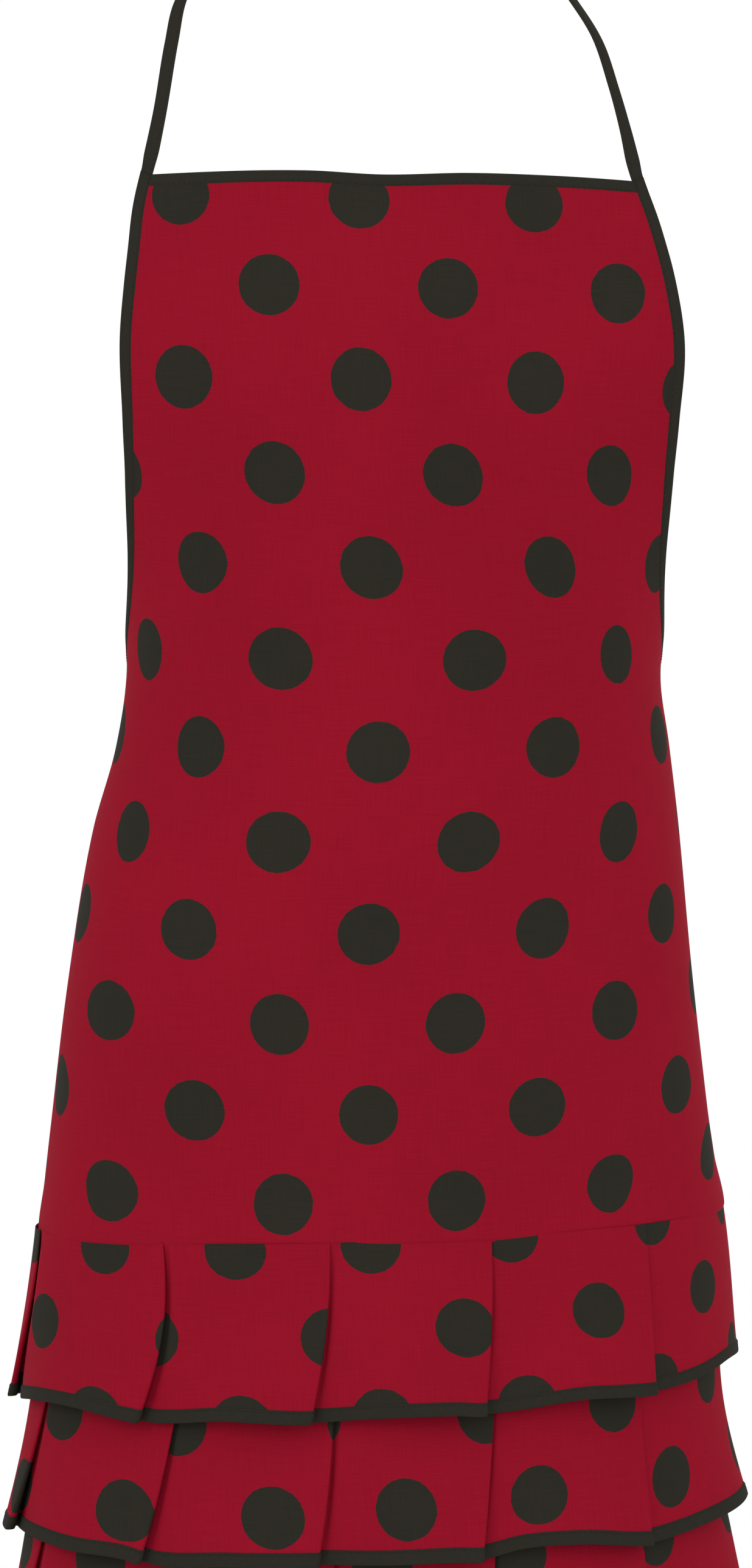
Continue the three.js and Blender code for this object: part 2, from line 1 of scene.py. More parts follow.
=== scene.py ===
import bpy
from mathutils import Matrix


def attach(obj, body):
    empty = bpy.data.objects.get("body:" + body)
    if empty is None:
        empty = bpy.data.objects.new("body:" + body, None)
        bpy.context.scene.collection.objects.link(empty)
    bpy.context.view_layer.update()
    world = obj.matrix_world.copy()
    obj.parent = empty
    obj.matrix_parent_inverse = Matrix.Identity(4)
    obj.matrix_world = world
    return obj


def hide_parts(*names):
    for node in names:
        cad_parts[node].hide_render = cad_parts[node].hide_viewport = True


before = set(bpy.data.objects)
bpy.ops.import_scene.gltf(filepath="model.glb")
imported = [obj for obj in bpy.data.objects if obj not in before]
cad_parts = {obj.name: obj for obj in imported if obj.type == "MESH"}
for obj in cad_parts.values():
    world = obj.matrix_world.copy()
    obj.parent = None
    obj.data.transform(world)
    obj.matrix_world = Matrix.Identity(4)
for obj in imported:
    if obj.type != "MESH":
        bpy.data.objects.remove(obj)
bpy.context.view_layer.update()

import math

import bpy
import numpy as np

# ---- Camera ----
# Level with the top of the skirt and three metres from the chest, square to the front.
# The frame is 859 mm high at that distance, so the strap leaves at the top and the last ruffle at the bottom.
VIEW_DISTANCE = 3.0
VIEW_HEIGHT = 0.85867
SENSOR_HEIGHT = 24.0
camera_data = bpy.data.cameras.new("camera")
camera_data.sensor_fit = "VERTICAL"
camera_data.sensor_height = SENSOR_HEIGHT
camera_data.lens = SENSOR_HEIGHT * VIEW_DISTANCE / VIEW_HEIGHT
camera = bpy.data.objects.new("camera", camera_data)
camera.location = (-0.009, -0.075 - VIEW_DISTANCE, -0.4933)
camera.rotation_euler = (math.pi / 2, 0, 0)
bpy.context.scene.collection.objects.link(camera)
bpy.context.scene.camera = camera
bpy.context.scene.view_settings.view_transform = "Standard"  # the cloth's own colours, as they are

# ---- Studio ----
# A pale round floor where the wearer would stand, a white room, and three large soft lamps.
# The lamp on the left is the stronger one, so each pleat shades the start of the next.
FLOOR_HEIGHT = -1.45
FLOOR_RADIUS = 2.6
FLOOR_SIDES = 96
FLOOR_GREY = (0.78, 0.77, 0.75, 1.0)
ROOM_LIGHT = 1.0
LAMPS = [  # name, place, size, watts
    ("key_lamp", (-2.3, -2.6, 0.9), 1.6, 19.0),
    ("fill_lamp", (2.4, -2.2, 0.2), 2.2, 12.0),
    ("back_lamp", (0.6, 3.0, 0.8), 2.0, 14.0),
]
LAMPS_AIM = (0.0, -0.1, -0.5)


def new_material(name):
    """A material with its node tree and its shader."""
    material = bpy.data.materials.new(name)
    material.use_nodes = True
    return material, material.node_tree, material.node_tree.nodes["Principled BSDF"]


world = bpy.data.worlds.new("white_room")
world.use_nodes = True
background = world.node_tree.nodes["Background"]
background.inputs["Color"].default_value = (1.0, 1.0, 1.0, 1.0)
background.inputs["Strength"].default_value = ROOM_LIGHT
bpy.context.scene.world = world
for lamp_name, lamp_place, size, watts in LAMPS:
    lamp_data = bpy.data.lights.new(lamp_name, "AREA")
    lamp_data.shape = "DISK"
    lamp_data.size = size
    lamp_data.energy = watts
    lamp = bpy.data.objects.new(lamp_name, lamp_data)
    lamp.location = lamp_place
    to_apron = np.array(LAMPS_AIM) - np.array(lamp_place)
    lamp.rotation_euler = (
        math.acos(-to_apron[2] / np.linalg.norm(to_apron)), 0, math.atan2(-to_apron[0], to_apron[1]))
    bpy.context.scene.collection.objects.link(lamp)

rim = np.linspace(0, 2 * math.pi, FLOOR_SIDES, endpoint=False)
floor_points = np.stack(
    [FLOOR_RADIUS * np.cos(rim), FLOOR_RADIUS * np.sin(rim), np.full(FLOOR_SIDES, FLOOR_HEIGHT)], 1)
floor_mesh = bpy.data.meshes.new("floor")
floor_mesh.from_pydata(floor_points.tolist(), [], [list(range(FLOOR_SIDES))])
floor = bpy.data.objects.new("floor", floor_mesh)
bpy.context.scene.collection.objects.link(floor)
floor_paint, _, floor_shader = new_material("floor_paint")
floor_shader.inputs["Base Color"].default_value = FLOOR_GREY
floor_shader.inputs["Roughness"].default_value = 0.85
floor_mesh.materials.append(floor_paint)

# ---- Dotted cotton ----
# Crimson cotton poplin, a close plain weave, with a half-drop print of round black dots 32.5 mm across.
# The right side is even and nearly matt; on the wrong side the print shows through paler.
CRIMSON = (0.2547, 0.0054, 0.0178, 1.0)
CRIMSON_WRONG_SIDE = (0.270, 0.018, 0.030, 1.0)
PRINT_BLACK = (0.0231, 0.0213, 0.0160, 1.0)
PRINT_WRONG_SIDE = (0.090, 0.022, 0.023, 1.0)
DOT_RADIUS = 0.01625
DOT_PITCH = (0.0955, 0.0965)     # each of the two interleaved square lattices
DOT_FIRST = (-0.014, 0.0122)     # cloth coordinates of one dot centre
DOT_EDGE_GRAIN = 260.0           # cells of the edge's noise in a metre
DOT_EDGE_UNEVEN = 0.0007
DOT_EDGE_SOFT = 0.0002
POPLIN_THREAD = 0.00042
POPLIN_RELIEF = 0.00008
SLUB_SHADE = (0.94, 1.06)        # thin and thick threads
DYE_GRAIN = 9.0
DYE_SHADE = (0.965, 1.035)
CLOTH_GLOSS = 0.02
COTTON_ROUGHNESS = (0.80, 0.72)  # bare, and where the print lies


def shader_group(name, inputs, outputs):
    """An empty node group with named sockets; returns the group and its two end nodes."""
    group = bpy.data.node_groups.new(name, "ShaderNodeTree")
    for direction, sockets in (("INPUT", inputs), ("OUTPUT", outputs)):
        for socket_name, kind in sockets:
            group.interface.new_socket(socket_name, in_out=direction, socket_type="NodeSocket" + kind)
    return group, group.nodes.new("NodeGroupInput"), group.nodes.new("NodeGroupOutput")


def feed(tree, source, socket):
    """Links a socket, or sets it where the source is a number or a tuple."""
    if isinstance(source, bpy.types.NodeSocket):
        tree.links.new(source, socket)
    else:
        socket.default_value = source


def node(tree, kind, *sources, operation=None, **values):
    """Adds a node; each source is a socket to link, a number or a tuple for the next input, or None."""
    made = tree.nodes.new("ShaderNode" + kind)
    if operation:
        made.operation = operation
    for key, value in values.items():
        setattr(made, key, value)
    for index, source in enumerate(sources):
        if source is not None:
            feed(tree, source, made.inputs[index])
    return made


def noise(tree, vector, scale, detail):
    """A flat noise with so many cells to a unit."""
    made = node(tree, "TexNoise", vector, noise_dimensions="2D")
    made.inputs["Scale"].default_value = scale
    made.inputs["Detail"].default_value = detail
    return made


def mix(tree, share, first, second):
    """The colour that goes from first to second as share goes from 0 to 1."""
    return node(tree, "Mix", share, *[None] * 5, first, second, data_type="RGBA").outputs[2]


# Weave: the product of two sines gives the pillows of a plain weave, and a noise drawn out along each
# thread gives thick and thin places. Height goes to a bump, Shade multiplies the colour.
woven, woven_in, woven_out = shader_group(
    "woven_threads", [("Vector", "Vector"), ("Thread", "Float")], [("Height", "Float"), ("Shade", "Float")])
per_thread = node(woven, "Math", 1.0, woven_in.outputs["Thread"], operation="DIVIDE")
in_threads = node(woven, "VectorMath", woven_in.outputs["Vector"], operation="SCALE")
woven.links.new(per_thread.outputs[0], in_threads.inputs["Scale"])
turns = node(woven, "VectorMath", in_threads.outputs[0], (math.pi, math.pi, 0), operation="MULTIPLY")
parts = node(woven, "SeparateXYZ", turns.outputs[0])
waves = [node(woven, "Math", parts.outputs[axis], operation="SINE") for axis in (0, 1)]
pillows = node(woven, "Math", waves[0].outputs[0], waves[1].outputs[0], operation="MULTIPLY")
slubs = []
for stretch in ((0.02, 0.9, 1), (0.9, 0.02, 1)):
    stretched = node(woven, "VectorMath", in_threads.outputs[0], stretch, operation="MULTIPLY")
    slubs.append(noise(woven, stretched.outputs[0], 1.0, 1.0).outputs["Fac"])
slub_sum = node(woven, "Math", *slubs, operation="ADD")
height = node(woven, "Math", pillows.outputs[0], slub_sum.outputs[0], operation="ADD")
shade = node(woven, "MapRange", slub_sum.outputs[0], 0.7, 1.3, *SLUB_SHADE)
woven.links.new(height.outputs[0], woven_out.inputs["Height"])
woven.links.new(shade.outputs[0], woven_out.inputs["Shade"])

# Print: the distance to the nearest centre of either lattice, with a slightly uneven edge, against the
# dot's radius. Ground and Dot are the two colours.
printed, printed_in, printed_out = shader_group(
    "dotted_print", [("Vector", "Vector"), ("Ground", "Color"), ("Dot", "Color")],
    [("Color", "Color"), ("Inside Dot", "Float")])
edge_noise = noise(printed, printed_in.outputs["Vector"], DOT_EDGE_GRAIN, 2.0)
uneven = node(printed, "VectorMath", edge_noise.outputs["Color"], (0.5, 0.5, 0.5), operation="SUBTRACT")
edge_shift = (DOT_EDGE_UNEVEN, DOT_EDGE_UNEVEN, 0)
uneven = node(printed, "VectorMath", uneven.outputs[0], edge_shift, operation="MULTIPLY")
near = node(printed, "VectorMath", printed_in.outputs["Vector"], uneven.outputs[0], operation="ADD")
distances = []
for half_drop in (0, 0.5):
    first = (DOT_FIRST[0] + half_drop * DOT_PITCH[0], DOT_FIRST[1] + half_drop * DOT_PITCH[1], 0)
    moved = node(printed, "VectorMath", near.outputs[0], first, operation="SUBTRACT")
    half_pitch = (DOT_PITCH[0] / 2, DOT_PITCH[1] / 2, 1)
    wrapped = node(printed, "VectorMath", moved.outputs[0], half_pitch,
                   tuple(-value for value in half_pitch), operation="WRAP")
    distances.append(node(printed, "VectorMath", wrapped.outputs[0], operation="LENGTH").outputs["Value"])
nearest = node(printed, "Math", *distances, operation="MINIMUM")
inside = node(printed, "MapRange", nearest.outputs[0], DOT_RADIUS - DOT_EDGE_SOFT, DOT_RADIUS + DOT_EDGE_SOFT,
              1.0, 0.0, interpolation_type="SMOOTHSTEP")
printed_colour = mix(printed, inside.outputs[0], printed_in.outputs["Ground"], printed_in.outputs["Dot"])
printed.links.new(printed_colour, printed_out.inputs["Color"])
printed.links.new(inside.outputs[0], printed_out.inputs["Inside Dot"])


def use_group(tree, group, **links):
    """Places a node group in a material and links or sets its inputs by name."""
    placed = tree.nodes.new("ShaderNodeGroup")
    placed.node_tree = group
    for key, source in links.items():
        feed(tree, source, placed.inputs[key])
    return placed


def woven_cloth(name, colour_of, thread, relief, turn=0.0):
    """A cloth material on the piece's own UV map, which is in metres of flat cloth. colour_of(tree, uv)
    returns a colour socket and a roughness socket or number; the weave shades and bumps it."""
    material, tree, shader = new_material(name)
    flat = tree.nodes.new("ShaderNodeUVMap")
    flat.uv_map = "flat_cloth"
    turned = node(tree, "Mapping", flat.outputs[0])
    turned.inputs["Rotation"].default_value = (0, 0, turn)
    colour, rough = colour_of(tree, flat.outputs[0])
    threads = use_group(tree, woven, Vector=turned.outputs[0], Thread=thread)
    dye = noise(tree, flat.outputs[0], DYE_GRAIN, 3.0)
    uneven_dye = node(tree, "MapRange", dye.outputs["Fac"], 0.3, 0.7, *DYE_SHADE)
    value = node(tree, "Math", threads.outputs["Shade"], uneven_dye.outputs[0], operation="MULTIPLY")
    grey = node(tree, "CombineXYZ", value.outputs[0], value.outputs[0], value.outputs[0])
    shaded = node(tree, "VectorMath", colour, grey.outputs[0], operation="MULTIPLY")
    tree.links.new(shaded.outputs[0], shader.inputs["Base Color"])
    feed(tree, rough, shader.inputs["Roughness"])
    bump = node(tree, "Bump")
    bump.inputs["Strength"].default_value = 0.5
    bump.inputs["Distance"].default_value = relief
    tree.links.new(threads.outputs["Height"], bump.inputs["Height"])
    tree.links.new(bump.outputs[0], shader.inputs["Normal"])
    shader.inputs["Specular IOR Level"].default_value = CLOTH_GLOSS
    return material


def print_on(ground, dot):
    """The colours of one side of the dotted cloth, a touch smoother where the print lies."""
    def colour_of(tree, uv):
        both = use_group(tree, printed, Vector=uv, Ground=ground, Dot=dot)
        rough = node(tree, "MapRange", both.outputs["Inside Dot"], 0.0, 1.0, *COTTON_ROUGHNESS)
        return both.outputs["Color"], rough.outputs[0]
    return colour_of


cotton = woven_cloth("dotted_cotton", print_on(CRIMSON, PRINT_BLACK), POPLIN_THREAD, POPLIN_RELIEF)
cotton_wrong_side = woven_cloth(
    "dotted_cotton_wrong_side", print_on(CRIMSON_WRONG_SIDE, PRINT_WRONG_SIDE), POPLIN_THREAD, POPLIN_RELIEF)

# ---- Apron body ----
# Bib and skirt cut in one from the dotted cotton. The bib's edges go into the bindings, the skirt's side
# edges are turned in a narrow hem, and the cloth lies on a general figure and falls straight from the hips.
MM = 0.001
NAPE_ABOVE_BIB = 168.0
BODY_LENGTH = 717.0
BODY_OUTER = 1.2               # out from the figure to the cloth's right side
CLOTH_THICKNESS = 0.5
INTO_BINDING = 3.0             # how far the bib's edges reach into their tapes
HEM_WIDTH = 11.0
HEM_THICKNESS = 0.45           # what the turned hem adds
HEM_STEP = 1.6                 # over which the hem comes down to one layer
HEM_STARTS = (306.0, 309.0)    # the drops between which the turned hem begins
BINDING_ENDS = (284.0, 300.0)  # the drops between which the cloth leaves its binding
BODY_ROWS = [  # first drop, last drop and number of rows, closest at the first ruffle's seam
    (3, 545, 176), (547, 566, 12), (566.6, 573, 12), (577, BODY_LENGTH, 34)]
BODY_COLUMNS = 200
SKIRT_WAVE = 0.7  # heights of the shallow waves in the worn cloth
WAIST_WAVE = 0.5
FIGURE = np.array([  # drop, half width, shift, front y, side y, back depth, squareness
    (-20, 168, -0.6, -166, -88, 84, 2.2), (0, 172, -0.3, -172, -92, 92, 2.2),
    (50, 187, 3.4, -184, -96, 100, 2.2), (95, 188, 5, -192, -98, 106, 2.2),
    (135, 178, 4.2, -192.5, -90.5, 100, 2.2), (175, 164.5, 3, -191, -80, 92, 2.15),
    (215, 151.2, 1.9, -189, -73, 87, 2.1), (262, 145.2, 0.8, -188, -70, 84, 2.1),
    (305, 150.4, 0.3, -190, -70, 86, 2.1), (350, 159.2, -3.5, -195, -70, 92, 2.15),
    (430, 169.6, -6.8, -203, -70, 100, 2.2), (500, 177.8, -7.4, -208, -70, 106, 2.25),
    (566, 185.2, -6.6, -212, -70, 110, 2.3), (663, 183.2, -9.6, -214, -70, 111, 2.3),
    (740, 187, -8.6, -216, -70, 112, 2.3), (840, 189, -9, -217, -70, 113, 2.3),
])
BODY_CUT = np.array([  # drop, half cut
    (-6, 128.6), (0, 130.5), (20, 136.2), (40, 139.9), (60, 143.4), (90, 147.4), (132, 148), (162, 150.5),
    (208, 162.5), (241, 184), (262, 214), (280, 247), (292, 273), (300, 289), (306, 295), (340, 299),
    (430, 309), (566, 324), (740, 340), (840, 349),
])
TOP_EDGE = np.array([  # along, dip
    (-130, 0), (-45, 0.2), (-5, 2.6), (40, 1.6), (80, 2.2), (130, 3.6),
])
TOP_EDGE_EVEN = 70.0  # the drop at which the top edge's dips have faded
# Along, how far the seams lie above a level line, and what the first hem and the later hems add to that.
RUFFLE_LIFT = np.array([
    (-350, 0, 3, 3), (-250, 0, 1, 2.5), (-194, 0, 6.2, 1.7), (-159, 0, 6.3, 0.3), (-130, 0, 2.2, -0.5),
    (-114, 0, 0.3, -4.2), (-75, 0.7, 2.7, -3), (-30, 1.8, 1.2, -2.6), (0, 2.9, 2.6, -3.4),
    (40, 4.3, 3.4, -2.5), (54, 4.8, 2.2, -3.2), (75, 5.7, 3.5, 1), (105, 7, 7, 1.3), (146, 8.7, 6.1, -3.8),
    (167, 9.8, 7.2, -2), (190, 11, 10, 1), (216, 12.3, 14.3, 3.5), (243, 13.5, 14, 5), (350, 13, 8, 8),
])
# Each fold's edge at the seam and at the hem, its swing aside, and the height and width of its groove.
FIRST_PLEATS = [
    (-226, -260, 12, 3.4, 5.0), (-116.5, -121, 6, 3.2, 2.6), (-26.5, -32, 2.5, 1.9, 1.8),
    (57.5, 55.5, 1.5, 0.5, 1.0), (146, 146.5, 1, 0.3, 1.0)]
LATER_PLEATS = [
    (-200, -231, 3, 3.4, 5.0), (-102.5, -121, 1.5, 2.2, 2.0), (-21.5, -29.5, 2.5, 1.9, 1.8),
    (62.5, 53, 1.5, 0.8, 1.0), (145, 143, 1, 0.2, 1.0), (242, 246, 0, 0, 1.0)]
RUFFLES = [  # seam, pleats, column of the hem's lift, and how many layers the right end stands out
    (567.0, FIRST_PLEATS, 2, 1.8), (637.0, LATER_PLEATS, 3, 1.0), (707.0, LATER_PLEATS, 3, 1.0)]
PLEAT_TUCK = 11.0            # how far a fold is tucked back under its panel
CLIMB_CLEAR = 3.0            # how far before the tuck the panel has climbed to its full height
PITCH_SEAM = 0.55            # from layer to layer of a pleat at the seam
OFF_SEAM = 2.4               # the ruffle's lowest layer at the seam
LAST_PANEL_ENDS = 340.0
ROWS_BEND = (430.0, 560.0)   # drops between which the rows bend up to follow the first seam
ROWS_LEVEL = (580.0, 700.0)  # and between which they come back to the level
RISE_FROM = 540.0            # where the body's cloth begins to rise over the first ruffle's edge
RISE_ROOM = 0.25             # between that edge and the cloth
RISE_ENDS = (0.4, 5.5)       # past the seam, where the cloth comes down again
SLIDE_AT = np.array([-200.0, -108.0, -10.0, 85.0, 175.0])
# Drop of a row of dots, its slide across at each of SLIDE_AT, its slide down in the middle, and how much that
# leans and how much it bends, both at 100 mm to the right.
PRINT_SLIDE = np.array([
    (15, 6, 5, 4, 7, 13, -3, -2, 0.5), (60, 4, 4, 4, 7, 12, -3, -2, 0.5), (109, 3, 3, 3, 7, 17, -4, -2, 0.5),
    (157, -1, 1.5, 1.5, 7, 24, -5.5, -1, 1.5), (205, -8, -3.5, -2, -3, 18, -6, -1, 2.5),
    (253, -14, 1, -6, -10, 8, -7, -0.5, 3), (302, -12, -1, -6.5, -6, -2.5, -7, 0.5, 3),
    (350, -10, 1, -4.5, -6.5, 5, -7, 0.5, 3), (398, 5, 2.5, -1.5, 0.5, 11, -6, 1, 2.5),
    (446, 17, -0.5, -0.5, 2.5, 5, -5.5, 1, 3), (495, 14, -2.5, -1.5, 5, 2.5, -4, 1.5, 3),
    (543, 8, -4, -2.5, 5, 19, -1.5, 3, 3.5),
])


def smoothstep(value, low, high):
    """0 below low, 1 above high, and 3t^2 - 2t^3 between."""
    t = np.clip((value - low) / (high - low), 0, 1)
    return t * t * (3 - 2 * t)


def between(keys, values, at):
    """Values between keys: a cubic that takes the mean slope of both spans at a key. A key has one value, or
    an array of them with an entry for each place that is read."""
    by_place = values.ndim > 1
    spans = np.diff(keys)
    slopes = np.diff(values, axis=0) / (spans[:, None, None] if by_place else spans)
    at_keys = np.concatenate([slopes[:1], (slopes[1:] + slopes[:-1]) / 2, slopes[-1:]])
    low = np.clip(np.searchsorted(keys, at, side="right") - 1, 0, len(keys) - 2)
    span = spans[low]
    t = np.clip((at - keys[low]) / span, 0, 1)

    def pick(source, key):
        return np.take_along_axis(source, key[None], axis=0)[0] if by_place else source[key]
    here, following = pick(values, low), pick(values, low + 1)
    return (here + (following - here) * t * t * (3 - 2 * t)
            + span * t * (1 - t) * (pick(at_keys, low) * (1 - t) - pick(at_keys, low + 1) * t))


def read(table, column, at):
    """One column of a table between its rows."""
    return between(table[:, 0], table[:, column], at)


# The figure's half outline at each millimetre of drop: x is half width times sine and y is depth times
# cosine, both raised to 2 / squareness. It is then read at each millimetre of its own length.
drops = np.arange(-25.0, 846.0)
half_width, shift, front_y, side_y, back_depth, squareness = (
    read(FIGURE, column, drops)[:, None] for column in range(1, 7))
angle = np.linspace(0, math.pi, 721)
outline_x = half_width * np.abs(np.sin(angle)) ** (2 / squareness)
depth = np.where(np.cos(angle) >= 0, side_y - front_y, back_depth)
outline_y = side_y - depth * np.sign(np.cos(angle)) * np.abs(np.cos(angle)) ** (2 / squareness)
steps = np.hypot(np.diff(outline_x, axis=1), np.diff(outline_y, axis=1))
lengths = np.concatenate([np.zeros((len(drops), 1)), np.cumsum(steps, axis=1)], axis=1)
ways = np.arange(0.0, 560.0)
figure_x = np.array([np.interp(ways, lengths[row], outline_x[row]) for row in range(len(drops))])
figure_y = np.array([np.interp(ways, lengths[row], outline_y[row]) for row in range(len(drops))])


def on_figure(along, drop):
    """Points on the figure: along is the way round from the front centre, drop is down from the bib's top
    edge. The outline tables are read between their four nearest entries."""
    along, drop = np.broadcast_arrays(np.asarray(along, float), np.asarray(drop, float))
    row = np.clip(drop - drops[0], 0, len(drops) - 1.001)
    way = np.clip(np.abs(along), 0, len(ways) - 1.001)
    i, j = row.astype(int), way.astype(int)
    fi, fj = row - i, way - j
    x, y = ((table[i, j] * (1 - fj) + table[i, j + 1] * fj) * (1 - fi)
            + (table[i + 1, j] * (1 - fj) + table[i + 1, j + 1] * fj) * fi for table in (figure_x, figure_y))
    sideways = np.interp(drop, drops, shift[:, 0])
    dip = read(TOP_EDGE, 1, along) * (1 - smoothstep(drop, 0, TOP_EDGE_EVEN))
    return np.stack([sideways + np.sign(along) * x, y, -NAPE_ABOVE_BIB - drop - dip], -1)


def unit(vectors):
    """The same vectors, each one unit long."""
    return vectors / np.linalg.norm(vectors, axis=-1, keepdims=True)


def outward(along, drop):
    """The figure's outward direction: the cross product of two short lines across the surface."""
    across = on_figure(along + 2, drop) - on_figure(along - 2, drop)
    up = on_figure(along, drop - 2) - on_figure(along, drop + 2)
    return unit(np.cross(across, up))


def place(along, drop, out):
    """Points out from the figure by a distance."""
    distance = np.broadcast_to(out, np.broadcast(along, drop).shape)
    return on_figure(along, drop) + outward(along, drop) * distance[..., None]


def half_cut(drop):
    """How far the body's cloth reaches from the front centre line."""
    return read(BODY_CUT, 1, drop)


def build_mesh(name, points, quads, uv, materials, material_index=None, smooth_faces=None, caps=()):
    """A mesh object at the origin from points in millimetres, quads, and one UV for each point. The quads
    are smooth, or so many of them from the first on, and the caps are flat."""
    mesh = bpy.data.meshes.new(name)
    mesh.from_pydata((points.reshape(-1, 3) * MM).tolist(), [], quads.tolist() + [list(cap) for cap in caps])
    layer = mesh.uv_layers.new(name="flat_cloth")
    corners = np.empty(len(mesh.loops), dtype=np.int32)
    mesh.loops.foreach_get("vertex_index", corners)
    layer.data.foreach_set("uv", (uv.reshape(-1, 2)[corners] * MM).ravel())
    mesh.polygons.foreach_set("use_smooth", np.arange(len(mesh.polygons)) < (smooth_faces or len(quads)))
    for material in materials:
        mesh.materials.append(material)
    if material_index is not None:
        mesh.polygons.foreach_set("material_index", material_index)
    mesh.update()
    piece = bpy.data.objects.new(name, mesh)
    bpy.context.scene.collection.objects.link(piece)
    return piece


def cloth_shell(name, outer, inner, uv, materials):
    """A closed cloth from two grids of rows and columns, its right and wrong side, joined round the rim."""
    rows, columns = outer.shape[:2]
    at = np.arange(rows * columns).reshape(rows, columns)
    front = np.stack([at[:-1, :-1], at[1:, :-1], at[1:, 1:], at[:-1, 1:]], -1).reshape(-1, 4)
    back = front[:, ::-1] + rows * columns
    ring = np.concatenate([at[:-1, 0], at[-1, :-1], at[:0:-1, -1], at[0, :0:-1]])
    following = np.roll(ring, -1)
    rim_quads = np.stack([following, ring, ring + rows * columns, following + rows * columns], -1)
    quads = np.concatenate([front, back, rim_quads])
    index = np.zeros(len(quads), dtype=np.int32)
    sides = len(front) + len(back)
    index[len(front):sides] = 1
    return build_mesh(name, np.concatenate([outer.reshape(-1, 3), inner.reshape(-1, 3)]), quads,
                      np.concatenate([uv.reshape(-1, 2)] * 2), materials, index, sides)


def bib_edge(drop):
    """The cloth's own edge: the cut, run on into the binding down to the waist."""
    slope = (half_cut(drop + 1) - half_cut(drop - 1)) / 2
    return half_cut(drop) + INTO_BINDING * np.hypot(1, slope) * (1 - smoothstep(drop, *BINDING_ENDS))


def print_slide(along, drop):
    """How far the print has slid across and down as the worn cloth stretched: across is read between the
    rows and then between SLIDE_AT, down is a parabola."""
    columns = np.stack([read(PRINT_SLIDE, column, drop) for column in range(1, 1 + len(SLIDE_AT))])
    middle, lean, bend = (read(PRINT_SLIDE, column, drop) for column in (6, 7, 8))
    aside = along / 100
    return between(SLIDE_AT, columns, along), middle + lean * aside + bend * aside ** 2


# The rows bend up with the first ruffle's seam, so that the cloth folds exactly along it.
level_drop = np.concatenate([np.linspace(*rows) for rows in BODY_ROWS])[:, None]
share = np.linspace(-1, 1, BODY_COLUMNS)
first_seam = RUFFLES[0][0]
near_seam = smoothstep(level_drop, *ROWS_BEND) * (1 - smoothstep(level_drop, *ROWS_LEVEL))
body_drop = level_drop - near_seam * read(RUFFLE_LIFT, 1, bib_edge(level_drop) * share)
body_along = bib_edge(body_drop) * share
from_edge = bib_edge(body_drop) - np.abs(body_along)
hem = (HEM_THICKNESS * (1 - smoothstep(from_edge, HEM_WIDTH, HEM_WIDTH + HEM_STEP))
       * smoothstep(body_drop, *HEM_STARTS))
# The first ruffle's gathered edge lies under the body's cloth, which rides over its pleats and is sewn
# down just below them: how far that lifts it is the ruffle's own top layer.
pleat_layer = 0 * body_along
panel_starts = [pleat[0] for pleat in FIRST_PLEATS] + [LAST_PANEL_ENDS]
for start, end in zip(panel_starts, panel_starts[1:]):
    layer_here = 2 * smoothstep(body_along, start, end - PLEAT_TUCK - CLIMB_CLEAR)
    pleat_layer = np.where((body_along >= start) & (body_along < end), layer_here, pleat_layer)
seam_rise = ((OFF_SEAM + PITCH_SEAM * pleat_layer + RISE_ROOM - BODY_OUTER)
             * smoothstep(level_drop, RISE_FROM, first_seam)
             * (1 - smoothstep(level_drop, first_seam + RISE_ENDS[0], first_seam + RISE_ENDS[1])))
# Upright waves on the skirt, slanting ones round the waist.
drape = (SKIRT_WAVE * np.sin(body_along / 31 + 0.4) * smoothstep(body_drop, 330, 520)
         + WAIST_WAVE * np.sin(body_along / 23 + body_drop / 90) * np.exp(-((body_drop - 285) / 60) ** 2))
body_out = BODY_OUTER + hem + seam_rise + drape * smoothstep(from_edge, 0, 40)
plumb = body_along + read(FIGURE, 2, body_drop)
slide_across, slide_down = print_slide(body_along, body_drop)
body_uv = np.stack([plumb + slide_across, body_drop + slide_down], -1)
apron_body = cloth_shell(
    "apron_body_cloth", place(body_along, body_drop, body_out),
    place(body_along, body_drop, body_out - CLOTH_THICKNESS - 2 * hem), body_uv, [cotton, cotton_wrong_side])
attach(apron_body, "root")
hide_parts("apron_body")

# ---- Black bias tape on the bib's edges ----
# Black cotton cut on the bias and folded over the raw edge, one piece along the top and one down each
# armhole to the waist. A row of small black stitches holds it just inside its free edge.
TAPE_BLACK = (0.0238, 0.0219, 0.0166, 1.0)
# painted highlight for the tape's rounded edges, where they catch the light
TAPE_EDGE_HIGHLIGHT = (0.030, 0.028, 0.022, 1.0)
TAPE_ROUGHNESS = 0.78
TAPE_THREAD = 0.00046
TAPE_RELIEF = 0.00009
THREAD_TWIST = 900.0
TOP_TAPE_HEIGHT = 6.7
TOP_TAPE_PAST = 0.8         # how far the top tape reaches over the ends of the armhole tapes
WAIST_DROP = 300.0          # the waist corners, where the armhole tapes end
TAPE_WIDTH = 7.5
TAPE_HALF = 1.0             # half of the folded tape's thickness
SEAM_GAP = 0.3
STITCH_LINE = -0.68         # where the stitches run, from the tape's middle towards the cloth
STITCH_PITCH = 3.0
STITCH_RADIUS = 0.24
STITCH_SHARE = 0.86         # of the pitch
STITCH_HEIGHT = 0.86        # of the tape's half thickness
STITCH_PULL = (0.22, 0.16)  # how deep and how wide the stitches pull the tape in
BEAD = np.array([  # place along the stitch, thickness, and rise above the cloth
    (-0.5, 0.25, -0.9), (-0.36, 0.8, -0.25), (0, 1.0, 0.15), (0.36, 0.8, -0.25), (0.5, 0.25, -0.9),
])
BEAD_SIDES = 6
SECTION_POINTS = 28

